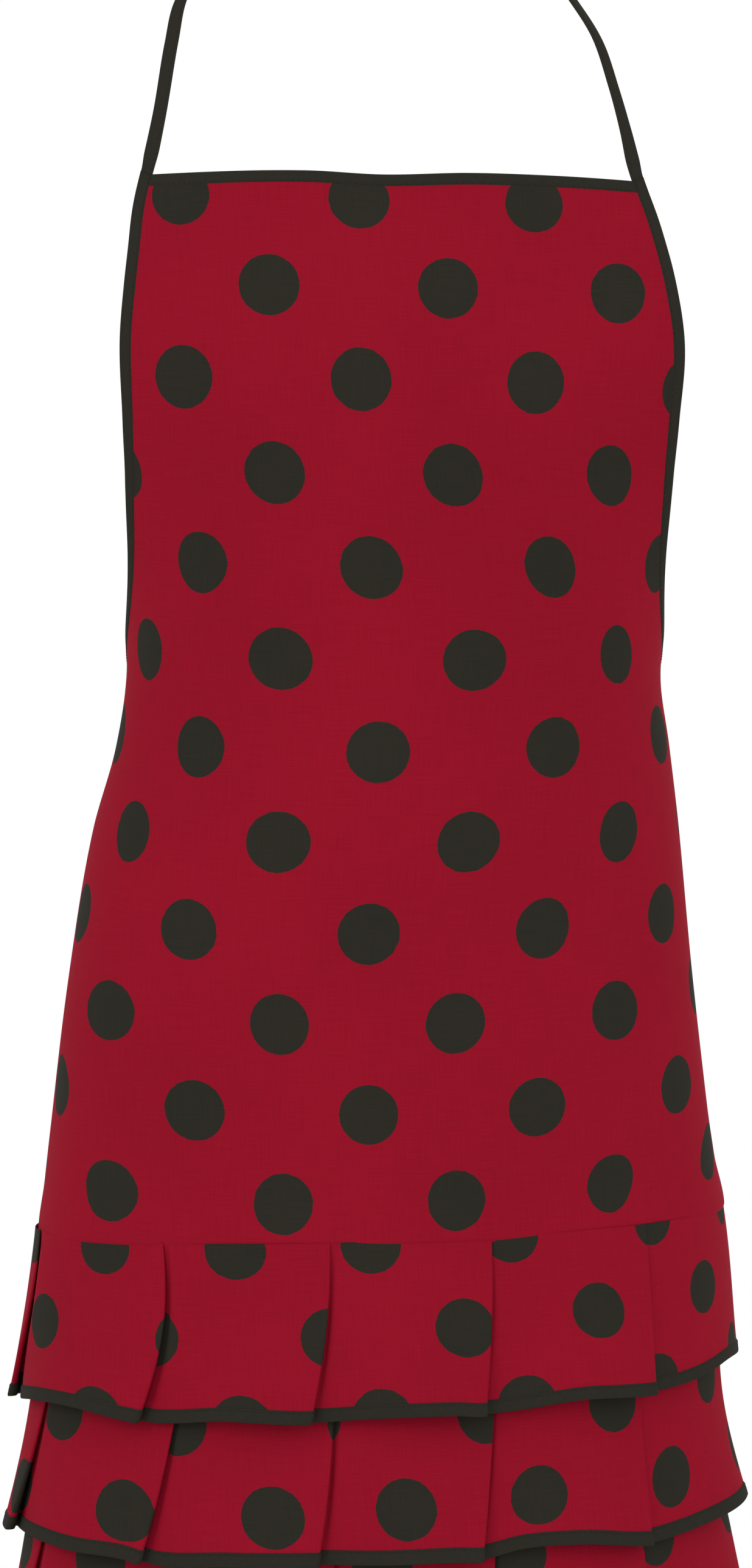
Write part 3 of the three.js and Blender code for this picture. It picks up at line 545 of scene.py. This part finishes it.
# The tape's section: c runs across from -1 on the cloth's side to 1 at the fold, o out from -1 to 1.
# The faces are flat with round edges, and pulled in a little under the stitches.
section_angle = np.linspace(0, 2 * math.pi, SECTION_POINTS, endpoint=False)
section_c = np.sign(np.cos(section_angle)) * np.abs(np.cos(section_angle)) ** 0.55
section_o = np.sign(np.sin(section_angle)) * (1 - np.abs(section_c) ** 6) ** (1 / 3)
section_o = section_o * (1 - STITCH_PULL[0] * np.exp(-((section_c - STITCH_LINE) / STITCH_PULL[1]) ** 2))


def tape_colours(tree, uv):
    """Plain black, with a painted highlight that makes the folded edges a little lighter."""
    across = node(tree, "SeparateXYZ", uv)
    away = node(tree, "Math", across.outputs[0], operation="ABSOLUTE")
    # painted highlight near both edges of the tape's width
    painted_edge_highlight = node(tree, "MapRange", away.outputs[0], 0.0030, 0.0044, 0.0, 0.2,
                  interpolation_type="SMOOTHSTEP")
    return mix(tree, painted_edge_highlight.outputs[0], TAPE_BLACK, TAPE_EDGE_HIGHLIGHT), TAPE_ROUGHNESS


def thread_material(name, dark, light, roughness, gloss):
    """Sewing thread, with slanting bands of painted shade and painted highlight for the ridges of its twist.
    """
    material, tree, shader = new_material(name)
    shader.inputs["Roughness"].default_value = roughness
    shader.inputs["Specular IOR Level"].default_value = gloss
    # the bands are painted shade and highlight on the twist's ridges
    twist = node(tree, "TexWave", node(tree, "TexCoord").outputs["Object"],
                 wave_type="BANDS", bands_direction="DIAGONAL")
    twist.inputs["Scale"].default_value = THREAD_TWIST
    feed(tree, mix(tree, twist.outputs["Fac"], dark, light), shader.inputs["Base Color"])
    return material


tape_cloth = woven_cloth("black_tape", tape_colours, TAPE_THREAD, TAPE_RELIEF, turn=math.pi / 4)
# the two colours are the thread's black in painted shade and in painted highlight
black_thread = thread_material(
    "black_thread", (0.020, 0.018, 0.014, 1.0), (0.024, 0.022, 0.017, 1.0), roughness=0.8, gloss=0.1)


def run_along(points):
    """The way along a line of points, counted from the first."""
    return np.concatenate([[0], np.cumsum(np.linalg.norm(np.diff(points, axis=0), axis=1))])


def tape_piece(name, surface, width, replaced):
    """A closed tape: surface(c, o) gives its lines of points, the section goes round them and both ends are
    capped. UV is across by along, in millimetres."""
    points = surface(section_c[:, None], section_o[:, None])
    around, count = points.shape[:2]
    middle = points.mean(axis=0)
    uv = np.stack(np.broadcast_arrays(section_c[:, None] * width / 2, run_along(middle)), -1)
    at = np.arange(around * count).reshape(around, count)
    after = np.roll(at, -1, axis=0)
    quads = np.stack([at[:, :-1], at[:, 1:], after[:, 1:], after[:, :-1]], -1).reshape(-1, 4)
    corner, ahead, _, aside = np.moveaxis(points.reshape(-1, 3)[quads], 1, 0)
    volume = ((corner - middle.mean(axis=0)) * np.cross(ahead - corner, aside - corner)).sum()
    caps = [at[::-1, 0], at[:, -1]]
    if volume < 0:
        quads, caps = quads[:, ::-1], [cap[::-1] for cap in caps]
    piece = build_mesh(name, points, quads, uv, [tape_cloth], caps=[cap.tolist() for cap in caps])
    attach(piece, "root")
    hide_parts(replaced)
    return piece


def stitch_row(name, lines, material):
    """One mesh of stitches along lines. Each line is its points and a line just outside it. A stitch is a
    six-sided bead, thickest in its middle, whose ends dip into the cloth."""
    ring_at, ring_size, ring_rise = BEAD.T
    turn = np.linspace(0, 2 * math.pi, BEAD_SIDES, endpoint=False)
    all_points, count = [], 0
    for points, above in lines:
        run = run_along(points)
        places = np.arange(STITCH_PITCH, run[-1] - STITCH_PITCH / 2, STITCH_PITCH)
        centre, ahead, up = (np.stack([np.interp(where, run, line[:, axis]) for axis in range(3)], -1)
                             for where, line in ((places, points), (places + 0.5, points), (places, above)))
        ahead, up = unit(ahead - centre), unit(up - centre)
        aside = np.cross(up, ahead)
        ring_centres = (
            centre[:, None] + ahead[:, None] * (ring_at * STITCH_PITCH * STITCH_SHARE)[:, None]
            + up[:, None] * (ring_rise * STITCH_RADIUS)[:, None])
        spread = (aside[:, None, None] * np.cos(turn)[:, None]
                  + up[:, None, None] * np.sin(turn)[:, None]) * STITCH_RADIUS
        all_points.append((ring_centres[:, :, None] + spread * ring_size[:, None, None]).reshape(-1, 3))
        count += len(places)
    bead = np.arange(len(BEAD) * BEAD_SIDES).reshape(len(BEAD), BEAD_SIDES)
    low, high = bead[:-1], bead[1:]
    sides = np.stack([low, high, np.roll(high, -1, 1), np.roll(low, -1, 1)], -1).reshape(-1, 4)
    ends = np.array([[5, 4, 3, 0], [3, 2, 1, 0], [24, 27, 28, 29], [24, 25, 26, 27]])
    quads = (np.concatenate([sides, ends])[None] + bead.size * np.arange(count)[:, None, None]).reshape(-1, 4)
    points = np.concatenate(all_points)
    piece = build_mesh(name, points, quads, np.zeros((len(points), 2)), [material])
    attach(piece, "root")
    return piece


def stitch_line(surface):
    """The line of stitches on a tape's outer face, and the line above it."""
    here, above = (surface(np.full((1, 1), STITCH_LINE), np.full((1, 1), o))[0]
                   for o in (STITCH_HEIGHT, STITCH_HEIGHT + 1.0))
    return here, above


def top_tape(c, o):
    """The top binding: c runs up from the cloth to the fold, along the whole width of the bib."""
    drop = TOP_TAPE_HEIGHT / 2 * (1 - c)
    along = (half_cut(drop) + SEAM_GAP + TOP_TAPE_PAST) * np.linspace(-1, 1, 120)
    return place(along, drop, BODY_OUTER / 2 + TAPE_HALF * o)


def armhole_point(side, drop, across):
    """A point of the armhole tape, square to the cut edge by across."""
    slope = (half_cut(drop + 1) - half_cut(drop - 1)) / 2
    run = np.hypot(1, slope)
    return side * (half_cut(drop) + across / run), drop - across * slope / run


def armhole_tape(side):
    """The armhole binding of one side, from the bib's corner to the waist corner."""
    drop = np.linspace(0, WAIST_DROP, 130)

    def surface(c, o):
        along, at_drop = armhole_point(side, drop, SEAM_GAP + TAPE_WIDTH / 2 * (1 + c))
        return place(along, at_drop, BODY_OUTER / 2 + TAPE_HALF * o)
    return surface


top_binding = tape_piece("top_binding_tape", top_tape, TOP_TAPE_HEIGHT, "bib_top_binding")
bib_lines = [stitch_line(top_tape)]
for side, word in ((-1, "left"), (1, "right")):
    surface = armhole_tape(side)
    tape_piece(f"armhole_tape_{word}", surface, TAPE_WIDTH, f"armhole_binding_{word}")
    bib_lines.append(stitch_line(surface))
bib_stitches = stitch_row("bib_stitches", bib_lines, black_thread)

# ---- Neck strap ----
# The armhole tapes run on past the bib's corners as one strap round the neck, sewn closed.
STRAP_WIDTH = 9.0
STRAP_HALF = 0.8      # half of its thickness
STRAP_POINTS = 330
WIDENS = (2.0, 14.0)  # how far from the armhole tape the strap and the ties begin and end to widen
NECK_STRAP = np.array([  # x, y, rise above the bib's top edge, and the way its outer face looks
    (-125, -137, 35, -0.55, -0.8, 0.24), (-119.5, -117, 75, -0.52, -0.75, 0.4),
    (-114.5, -98, 102, -0.56, -0.58, 0.6), (-96, -65, 133, -0.6, -0.25, 0.76),
    (-67, -33, 154, -0.52, 0.3, 0.8), (-34, -8, 165, -0.3, 0.85, 0.42), (0, 0.8, 168, 0, 1, 0),
    (32, -8, 164, 0.3, 0.85, 0.42), (60, -33, 151, 0.52, 0.3, 0.8), (82, -63, 129, 0.62, -0.2, 0.76),
    (98, -92, 102, 0.68, -0.5, 0.54), (111, -112, 77, 0.74, -0.56, 0.38), (119, -125, 50, 0.74, -0.62, 0.25),
    (125, -137, 25, 0.66, -0.72, 0.15),
])


def smooth_run(rows, count):
    """A curve through rows of point and look: cubic spans on a scale that grows with the root of each
    chord, read at even steps of its own length. Returns centre, outward and across directions."""
    scale = np.concatenate([[0], np.cumsum(np.linalg.norm(np.diff(rows[:, :3], axis=0), axis=1) ** 0.5)])
    slopes = np.gradient(rows, scale, axis=0)

    def curve(at):
        row = np.clip(np.searchsorted(scale, at, side="right") - 1, 0, len(scale) - 2)
        span = (scale[row + 1] - scale[row])[:, None]
        t = ((at - scale[row])[:, None]) / span
        return (rows[row] * (1 + 2 * t) * (1 - t) ** 2 + rows[row + 1] * t * t * (3 - 2 * t)
                + span * t * (1 - t) * (slopes[row] * (1 - t) - slopes[row + 1] * t))
    fine = np.linspace(0, scale[-1], 2000)
    run = run_along(curve(fine)[:, :3])
    even = curve(np.interp(np.linspace(0, run[-1], count), run, fine))
    centre, look = even[:, :3], even[:, 3:]
    ahead = unit(np.gradient(centre, axis=0))
    out = unit(look - (look * ahead).sum(axis=1, keepdims=True) * ahead)
    return centre, out, np.cross(out, ahead), run[-1]


def free_tape(run, width_at):
    """The surface of a tape sewn closed, on a smooth run: across times c plus outward times o."""
    centre, out, across, _ = run
    half = np.broadcast_to(width_at, len(centre))[:, None] / 2

    def surface(c, o):
        return centre + across * c[..., None] * half + out * o[..., None] * STRAP_HALF
    return surface


def add_free_tape(name, run, width_at, width, replaced, rests_on):
    """Makes a sewn tape; keeps its length, what it hangs from and its line of stitches."""
    surface = free_tape(run, width_at)
    free_pieces.append((tape_piece(name, surface, width, replaced), run[3], rests_on))
    free_lines.append(stitch_line(surface))


def to_nearest_end(run):
    """The way from each point of a smooth run to its nearer end."""
    share = np.linspace(0, 1, len(run[0]))
    return np.minimum(share, share[::-1]) * run[3]


def widened(way):
    """The width of a tape this far from the armhole tape that it goes on from."""
    return TAPE_WIDTH + (STRAP_WIDTH - TAPE_WIDTH) * smoothstep(way, *WIDENS)


def run_on(side, drop, beyond, distance):
    """A point where the armhole tape runs straight on past its end, and the way it looks there."""
    middle = SEAM_GAP + TAPE_WIDTH / 2
    end = np.array(armhole_point(side, drop, middle))
    ahead = end - armhole_point(side, drop - beyond, middle)
    along, at_drop = end + ahead * distance / np.linalg.norm(ahead)
    return along, at_drop, np.concatenate([place(along, at_drop, BODY_OUTER / 2), outward(along, at_drop)])


strap_rows = NECK_STRAP.copy()
strap_rows[:, 2] -= NAPE_ABOVE_BIB
strap_rows = np.concatenate([
    [run_on(-1, 0, -7, distance)[2] for distance in (-1.0, 3.0)], strap_rows,
    [run_on(1, 0, -7, distance)[2] for distance in (3.0, -1.0)]])
strap_run = smooth_run(strap_rows, STRAP_POINTS)
free_pieces, free_lines = [], []
add_free_tape("neck_strap_tape", strap_run, widened(to_nearest_end(strap_run)),
              STRAP_WIDTH, "neck_strap", ("armhole_tape_left", "armhole_tape_right"))

# ---- Waist ties and bow ----
# The armhole tapes also run on from the waist corners as two ties, sewn closed, which go round the back
# and are tied in a small bow: a knot, two loops and two hanging ends.
TIE_DROP = 300.0
TIE_RISE = 2.0
TIE_EASE = 0.8
TIE_POINTS, LOOP_POINTS, END_POINTS = 130, 120, 150
KNOT_SIZE = (17.0, 11.0, 15.0)
KNOT_OFF = 4.2
KNOT_GAP = KNOT_SIZE[0] / 2 + 0.6
KNOT_POINTS = 72
WRAPS = [  # slant, size, place aside and width of each turn of the knot
    (0.22, 1.0, 0.8, 9.5), (-0.30, 0.86, -1.2, 12.0)]
LOOP_PINCHED = 0.72  # share of its width at the knot
LOOP_FULL_AT = 16.0  # from the knot
LOOP_REACH = 74.0
LOOP_SAG = 26.0
LOOP_ROWS = np.array([  # reach, off, hang, look x, look y
    (0, -0.4, 0, 0, -1), (0.3, 1, -0.12, -0.1, -1), (0.65, 2.5, 0.2, 0.1, -1), (0.92, 5, 0.75, 0.6, -0.8),
    (1, 8.5, 0.98, 1, 0), (0.9, 11.5, 1.1, 0.5, 0.9), (0.62, 11, 0.95, -0.1, 1), (0.3, 8.5, 0.45, -0.2, 1),
    (0, 3.4, 0.06, -0.5, 1),
])
END_ROWS = np.array([  # down, aside, off, look x
    (0, 0, -1, 0), (0.12, 0.064, 0.4, 0.02), (0.35, 0.255, 2.5, 0.07), (0.7, 0.63, 2.2, 0.14),
    (1, 1, -1.5, 0.2),
])
END_ROOT = 4.6
END_WIDTH = 8.4
BOW_SIDES = [(-1, "left", 265.0, 34.0), (1, "right", 246.0, 20.0)]  # side, word, end length, end lean

half_round = float(np.interp(TIE_DROP, drops, lengths[:, -1]))
knot_centre = place(half_round, TIE_DROP - TIE_RISE, 0.0) + np.array([0, KNOT_OFF, 0])
knot_centre[0] = float(np.interp(TIE_DROP, drops, shift[:, 0]))
for side, word, end_length, end_lean in BOW_SIDES:
    turn_along, turn_drop, turn_row = run_on(side, WAIST_DROP, 8, 6.0)
    tie_rows = [run_on(side, WAIST_DROP, 8, -1.0)[2], turn_row]
    for t in (0.2, 0.4, 0.6, 0.8, 1.0):
        along = side * (abs(turn_along) + (half_round - KNOT_GAP + 3 - abs(turn_along)) * t)
        drop = turn_drop + (TIE_DROP - TIE_RISE - turn_drop) * t ** TIE_EASE
        tie_rows.append(np.concatenate([place(along, drop, BODY_OUTER / 2), outward(along, drop)]))
    tie_run = smooth_run(np.array(tie_rows), TIE_POINTS)
    add_free_tape(f"waist_tie_tape_{word}", tie_run, widened(np.linspace(0, tie_run[3], TIE_POINTS)),
                  STRAP_WIDTH, f"waist_tie_{word}", (f"armhole_tape_{word}",))

    reach, off, hang, look_x, look_y = LOOP_ROWS.T
    loop_rows = np.stack([
        side * (KNOT_GAP - 3 + reach * (LOOP_REACH - KNOT_GAP + 3)), off, -hang * LOOP_SAG,
        side * look_x, look_y, 0 * reach], -1)
    loop_rows[:, :3] += knot_centre
    loop_run = smooth_run(loop_rows, LOOP_POINTS)
    opening = LOOP_PINCHED + (1 - LOOP_PINCHED) * smoothstep(to_nearest_end(loop_run), 0, LOOP_FULL_AT)
    add_free_tape(f"bow_loop_tape_{word}", loop_run, STRAP_WIDTH * opening,
                  STRAP_WIDTH, f"bow_loop_{word}", ("bow_knot_tape",))

    down, aside, off, look_x = END_ROWS.T
    end_rows = np.stack([
        side * (END_ROOT + end_lean * aside), off, -KNOT_SIZE[2] / 2 + 2.5 - (end_length + 2.8) * down,
        side * look_x, 1 + 0 * down, 0 * down], -1)
    end_rows[:, :3] += knot_centre
    end_run = smooth_run(end_rows, END_POINTS)
    add_free_tape(f"bow_end_tape_{word}", end_run, END_WIDTH,
                  END_WIDTH, f"bow_end_{word}", ("bow_knot_tape",))

# The knot is the tape's own turns: two wraps round the crossing, one slanted over the other.
knot_turn = np.linspace(0, 2 * math.pi, KNOT_POINTS, endpoint=False)
knot_points, knot_quads, knot_uvs = [], [], []
for wrap, (slant, size, place_aside, width) in enumerate(WRAPS):
    y, z = (np.sign(wave) * np.abs(wave) ** 0.8 * (reach / 2 - 1.0) * size
            for wave, reach in ((np.cos(knot_turn), KNOT_SIZE[1]), (np.sin(knot_turn), KNOT_SIZE[2])))
    ring = np.stack([place_aside + slant * z, y, z], -1)
    out = unit(np.stack([0 * y, y / KNOT_SIZE[1], z / KNOT_SIZE[2]], -1))
    plump = 1.25 - 0.25 * section_c ** 2
    points = (ring + np.array([1.0, 0, 0]) * section_c[:, None, None] * width / 2
              + out * (section_o * plump)[:, None, None] * 1.1 + knot_centre)
    at = np.arange(SECTION_POINTS * KNOT_POINTS).reshape(SECTION_POINTS, KNOT_POINTS)
    at += wrap * SECTION_POINTS * KNOT_POINTS
    after, ahead = np.roll(at, -1, axis=0), np.roll(at, -1, axis=1)
    knot_quads.append(np.stack([at, ahead, np.roll(after, -1, axis=1), after], -1).reshape(-1, 4))
    knot_points.append(points.reshape(-1, 3))
    uv = np.stack(np.broadcast_arrays(section_c[:, None] * width / 2, knot_turn * 6.0), -1)
    knot_uvs.append(uv.reshape(-1, 2))
bow_knot = build_mesh("bow_knot_tape", np.concatenate(knot_points), np.concatenate(knot_quads)[:, ::-1],
                      np.concatenate(knot_uvs), [tape_cloth])
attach(bow_knot, "root")
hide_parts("bow_knot")
strap_stitches = stitch_row("strap_and_tie_stitches", free_lines, black_thread)

# ---- Ruffles ----
# Three strips of the dotted cotton, each knife-pleated five or six times to one side and sewn on the skirt.
# The folds are pressed flat at the seam and open towards the hem, where each stands over the next panel.
RUFFLE_LENGTH = 94.0
RUFFLE_ROWS = 42
PITCH_HEM = 3.8                # from layer to layer of a pleat at the hem
OFF_HEM = 10.0                 # the ruffle's lowest layer at the hem
FLARE_POWER = 1.4              # how late both grow on the way down
HEM_DIP = 0.1                  # how much lower a layer hangs for each mm that it stands out
FLAT_PAST_FOLD = 0.8
GROOVE_REACH = 26.0            # over which a panel sinks again past its groove
RUFFLE_THICKNESS = 0.45
HEM_TAPE_HEIGHT = 7.5
HEM_TAPE_HALF = 0.9
HEM_TAPE_TOP = 1 - HEM_TAPE_HEIGHT / RUFFLE_LENGTH
CLOTH_ABOVE_HEM = 3.0          # the strip ends inside its tape, this far above the tape's lower edge
PRINT_ACROSS = (1.04, 0.0004)  # cloth for each mm round the figure, and how that grows to the right
PRINT_DOWN = 1.05
PRINT_ON_PANEL = [  # for each ruffle and each panel, where the print lies: across, slant, down
    [(-77, -8, 8.5), (-54, -8.5, 8.5), (-32.5, -10, 8.5), (-8.5, -9.5, 10.5), (9, -10.5, 13),
     (10.5, -2.5, 15.5)],
    [(-42, 0, -12.5), (-28, 0, -12.5), (-3, -8, -12.5), (22, -6.5, -10), (37.5, 2, -10),
     (38, 6, -7), (59, 0, -5)],
    [(-75, -7, -18.5), (-54, -7, -18.5), (-36, -7, -18), (-15, -7, -16.5), (4.5, -7, -16),
     (8, -7, -13.5), (29, -7, -11)],
]
CLIMB_COLUMNS = 30
TURN_COLUMNS = 9
THIRDS = np.array([0.34, 0.67])


def groove_profile(away, t, height, width):
    """How far a panel stands out past a fold, away from it: it lies low over the groove's width, puffs up
    to height and sinks again. At the seam and at the hem there is none."""
    low = np.exp(-(away / width) ** 2)
    puff = height * (1 - low) * np.exp(-away / GROOVE_REACH)
    return (puff - 0.3 * height * low) * np.sin(math.pi * t ** 0.7)


def pleat_path(tier, t):
    """A strip's line round the figure at t down from its seam, as along and out. Each pleat climbs from
    layer 0 to 2, turns back on layer 1 through a half circle of one layer's pitch, and returns to 0. Past a
    fold the next panel puffs up quickly and sinks again, which leaves a groove beside the fold."""
    seam, pleats, _, end_layer = RUFFLES[tier - 1]
    edge = half_cut(seam + RUFFLE_LENGTH * t)
    pitch = PITCH_SEAM + (PITCH_HEM - PITCH_SEAM) * t ** FLARE_POWER
    off = OFF_SEAM + (OFF_HEM - OFF_SEAM) * t ** FLARE_POWER
    radius = pitch / 2
    climb = np.linspace(0, 1, CLIMB_COLUMNS) ** 1.8
    half_turn = np.linspace(math.pi / 2, -math.pi / 2, TURN_COLUMNS)
    level = 0 * THIRDS + 0 * t
    along, layer = [], []
    shown, height, width = -edge, 0.0, 1.0
    for at_seam, at_hem, swing, *groove in pleats:
        fold = at_seam + (at_hem - at_seam) * t + swing * np.sin(math.pi * t)
        tuck = fold - PLEAT_TUCK
        climbed = tuck - CLIMB_CLEAR
        puff = groove_profile(climb * (climbed - shown), t, height, width)
        along += [
            shown + (climbed - shown) * climb, climbed + (fold - radius - climbed) * THIRDS,
            fold - radius + radius * np.cos(half_turn), fold - radius + (tuck - fold + 2 * radius) * THIRDS,
            tuck + radius - radius * np.cos(half_turn),
            tuck + radius + (fold + FLAT_PAST_FOLD - tuck - radius) * THIRDS]
        layer += [
            2 * smoothstep(climb, 0, 1) + puff / pitch, level + 2, 1.5 + 0.5 * np.sin(half_turn) + 0 * t,
            level + 1, 0.5 + 0.5 * np.sin(half_turn) + 0 * t, level]
        shown, (height, width) = fold + FLAT_PAST_FOLD, groove
    along.append(shown + (edge - shown) * climb)
    layer.append(end_layer * climb + groove_profile(climb * (edge - shown), t, height, width) / pitch)
    return np.concatenate(along, axis=1), off + np.concatenate(layer, axis=1) * pitch, off


def beside(along, out, distance):
    """The same line moved square to its own run."""
    d_along, d_out = np.gradient(along, axis=1), np.gradient(out, axis=1)
    size = np.hypot(d_along, d_out)
    return along - distance * d_out / size, out + distance * d_along / size


def ruffle_place(tier, t, along, out, off):
    """A ruffle's point on the figure: its drop grows with t, less the lift of its seam and of its hem, and a
    fold that stands out further hangs a little lower."""
    seam, _, hem_column, _ = RUFFLES[tier - 1]
    lift = read(RUFFLE_LIFT, 1, along) + read(RUFFLE_LIFT, hem_column, along) * t
    return place(along, seam + RUFFLE_LENGTH * t - lift + HEM_DIP * (out - off) * t, out)


hem_lines = []
for tier, print_on_panel in enumerate(PRINT_ON_PANEL, 1):
    t = np.linspace(0, 1 - CLOTH_ABOVE_HEM / RUFFLE_LENGTH, RUFFLE_ROWS)[:, None]
    along, out, off = pleat_path(tier, t)
    right, wrong = (ruffle_place(tier, t, *beside(along, out, side * RUFFLE_THICKNESS / 2), off)
                    for side in (1, -1))
    # The print moves on from panel to panel only along the stretch that each fold hides.
    middle = len(t) // 2
    run = run_along(np.stack([along[middle], out[middle]], -1))
    spent = run - (along[middle] - along[middle, 0])
    panels = len(print_on_panel)
    per_pleat = CLIMB_COLUMNS + 3 * THIRDS.size + 2 * TURN_COLUMNS
    fold_ends = [(pleat * per_pleat + CLIMB_COLUMNS + THIRDS.size, (pleat + 1) * per_pleat - 1)
                 for pleat in range(panels - 1)]
    panel = np.interp(spent, spent[np.ravel(fold_ends)], np.repeat(np.arange(panels), 2)[1:-1])
    across, slant, down = (np.interp(panel, np.arange(panels), column) for column in zip(*print_on_panel))
    uv = np.stack([PRINT_ACROSS[0] * along + PRINT_ACROSS[1] * along ** 2 + across + slant * t,
                   PRINT_DOWN * RUFFLE_LENGTH * t + down], -1)
    ruffle = cloth_shell(f"ruffle_{tier}_cloth", right, wrong, uv, [cotton, cotton_wrong_side])
    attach(ruffle, "root")
    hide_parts(f"ruffle_{tier}")

    def hem_tape(c, o):
        """The hem's tape: c runs down from the cloth to the fold, along the strip's own line."""
        down = HEM_TAPE_TOP + (1 - HEM_TAPE_TOP) * (1 + c) / 2
        on_path, path_out, path_off = pleat_path(tier, down)
        return ruffle_place(tier, down, *beside(on_path, path_out, HEM_TAPE_HALF * o), path_off)
    hem_binding = tape_piece(f"ruffle_{tier}_tape", hem_tape, HEM_TAPE_HEIGHT, f"ruffle_{tier}_binding")
    hem_lines.append(stitch_line(hem_tape))
hem_stitches = stitch_row("hem_stitches", hem_lines, black_thread)

# ---- Side hems and ruffle seams of the body ----
# The skirt's turned side hems and the three ruffle seams are sewn in red thread, 3 mm a stitch.
# The seams show on the wrong side; the hems show on both sides of the opening at the back.
SEAM_FROM_END = 3.0
# the two colours are the thread's red in painted shade and in painted highlight
red_thread = thread_material(
    "red_thread", (0.22, 0.006, 0.016, 1.0), (0.33, 0.012, 0.028, 1.0), roughness=0.5, gloss=0.5)
body_lines = []
hem_drop = np.linspace(312, BODY_LENGTH - 6, 160)
for side in (-1, 1):
    hem_along = side * (half_cut(hem_drop) - HEM_WIDTH + 2)
    for out, above in ((BODY_OUTER + HEM_THICKNESS, 1), (BODY_OUTER - CLOTH_THICKNESS - HEM_THICKNESS, -1)):
        body_lines.append((place(hem_along, hem_drop, out), place(hem_along, hem_drop, out + above)))
for seam, *_ in RUFFLES:
    seam_along = np.linspace(-half_cut(seam) + SEAM_FROM_END, half_cut(seam) - SEAM_FROM_END, 260)
    inner = BODY_OUTER - CLOTH_THICKNESS
    seam_drop = seam + 6 - read(RUFFLE_LIFT, 1, seam_along)
    body_lines.append((place(seam_along, seam_drop, inner), place(seam_along, seam_drop, inner - 1)))
body_stitches = stitch_row("body_stitches", body_lines, red_thread)
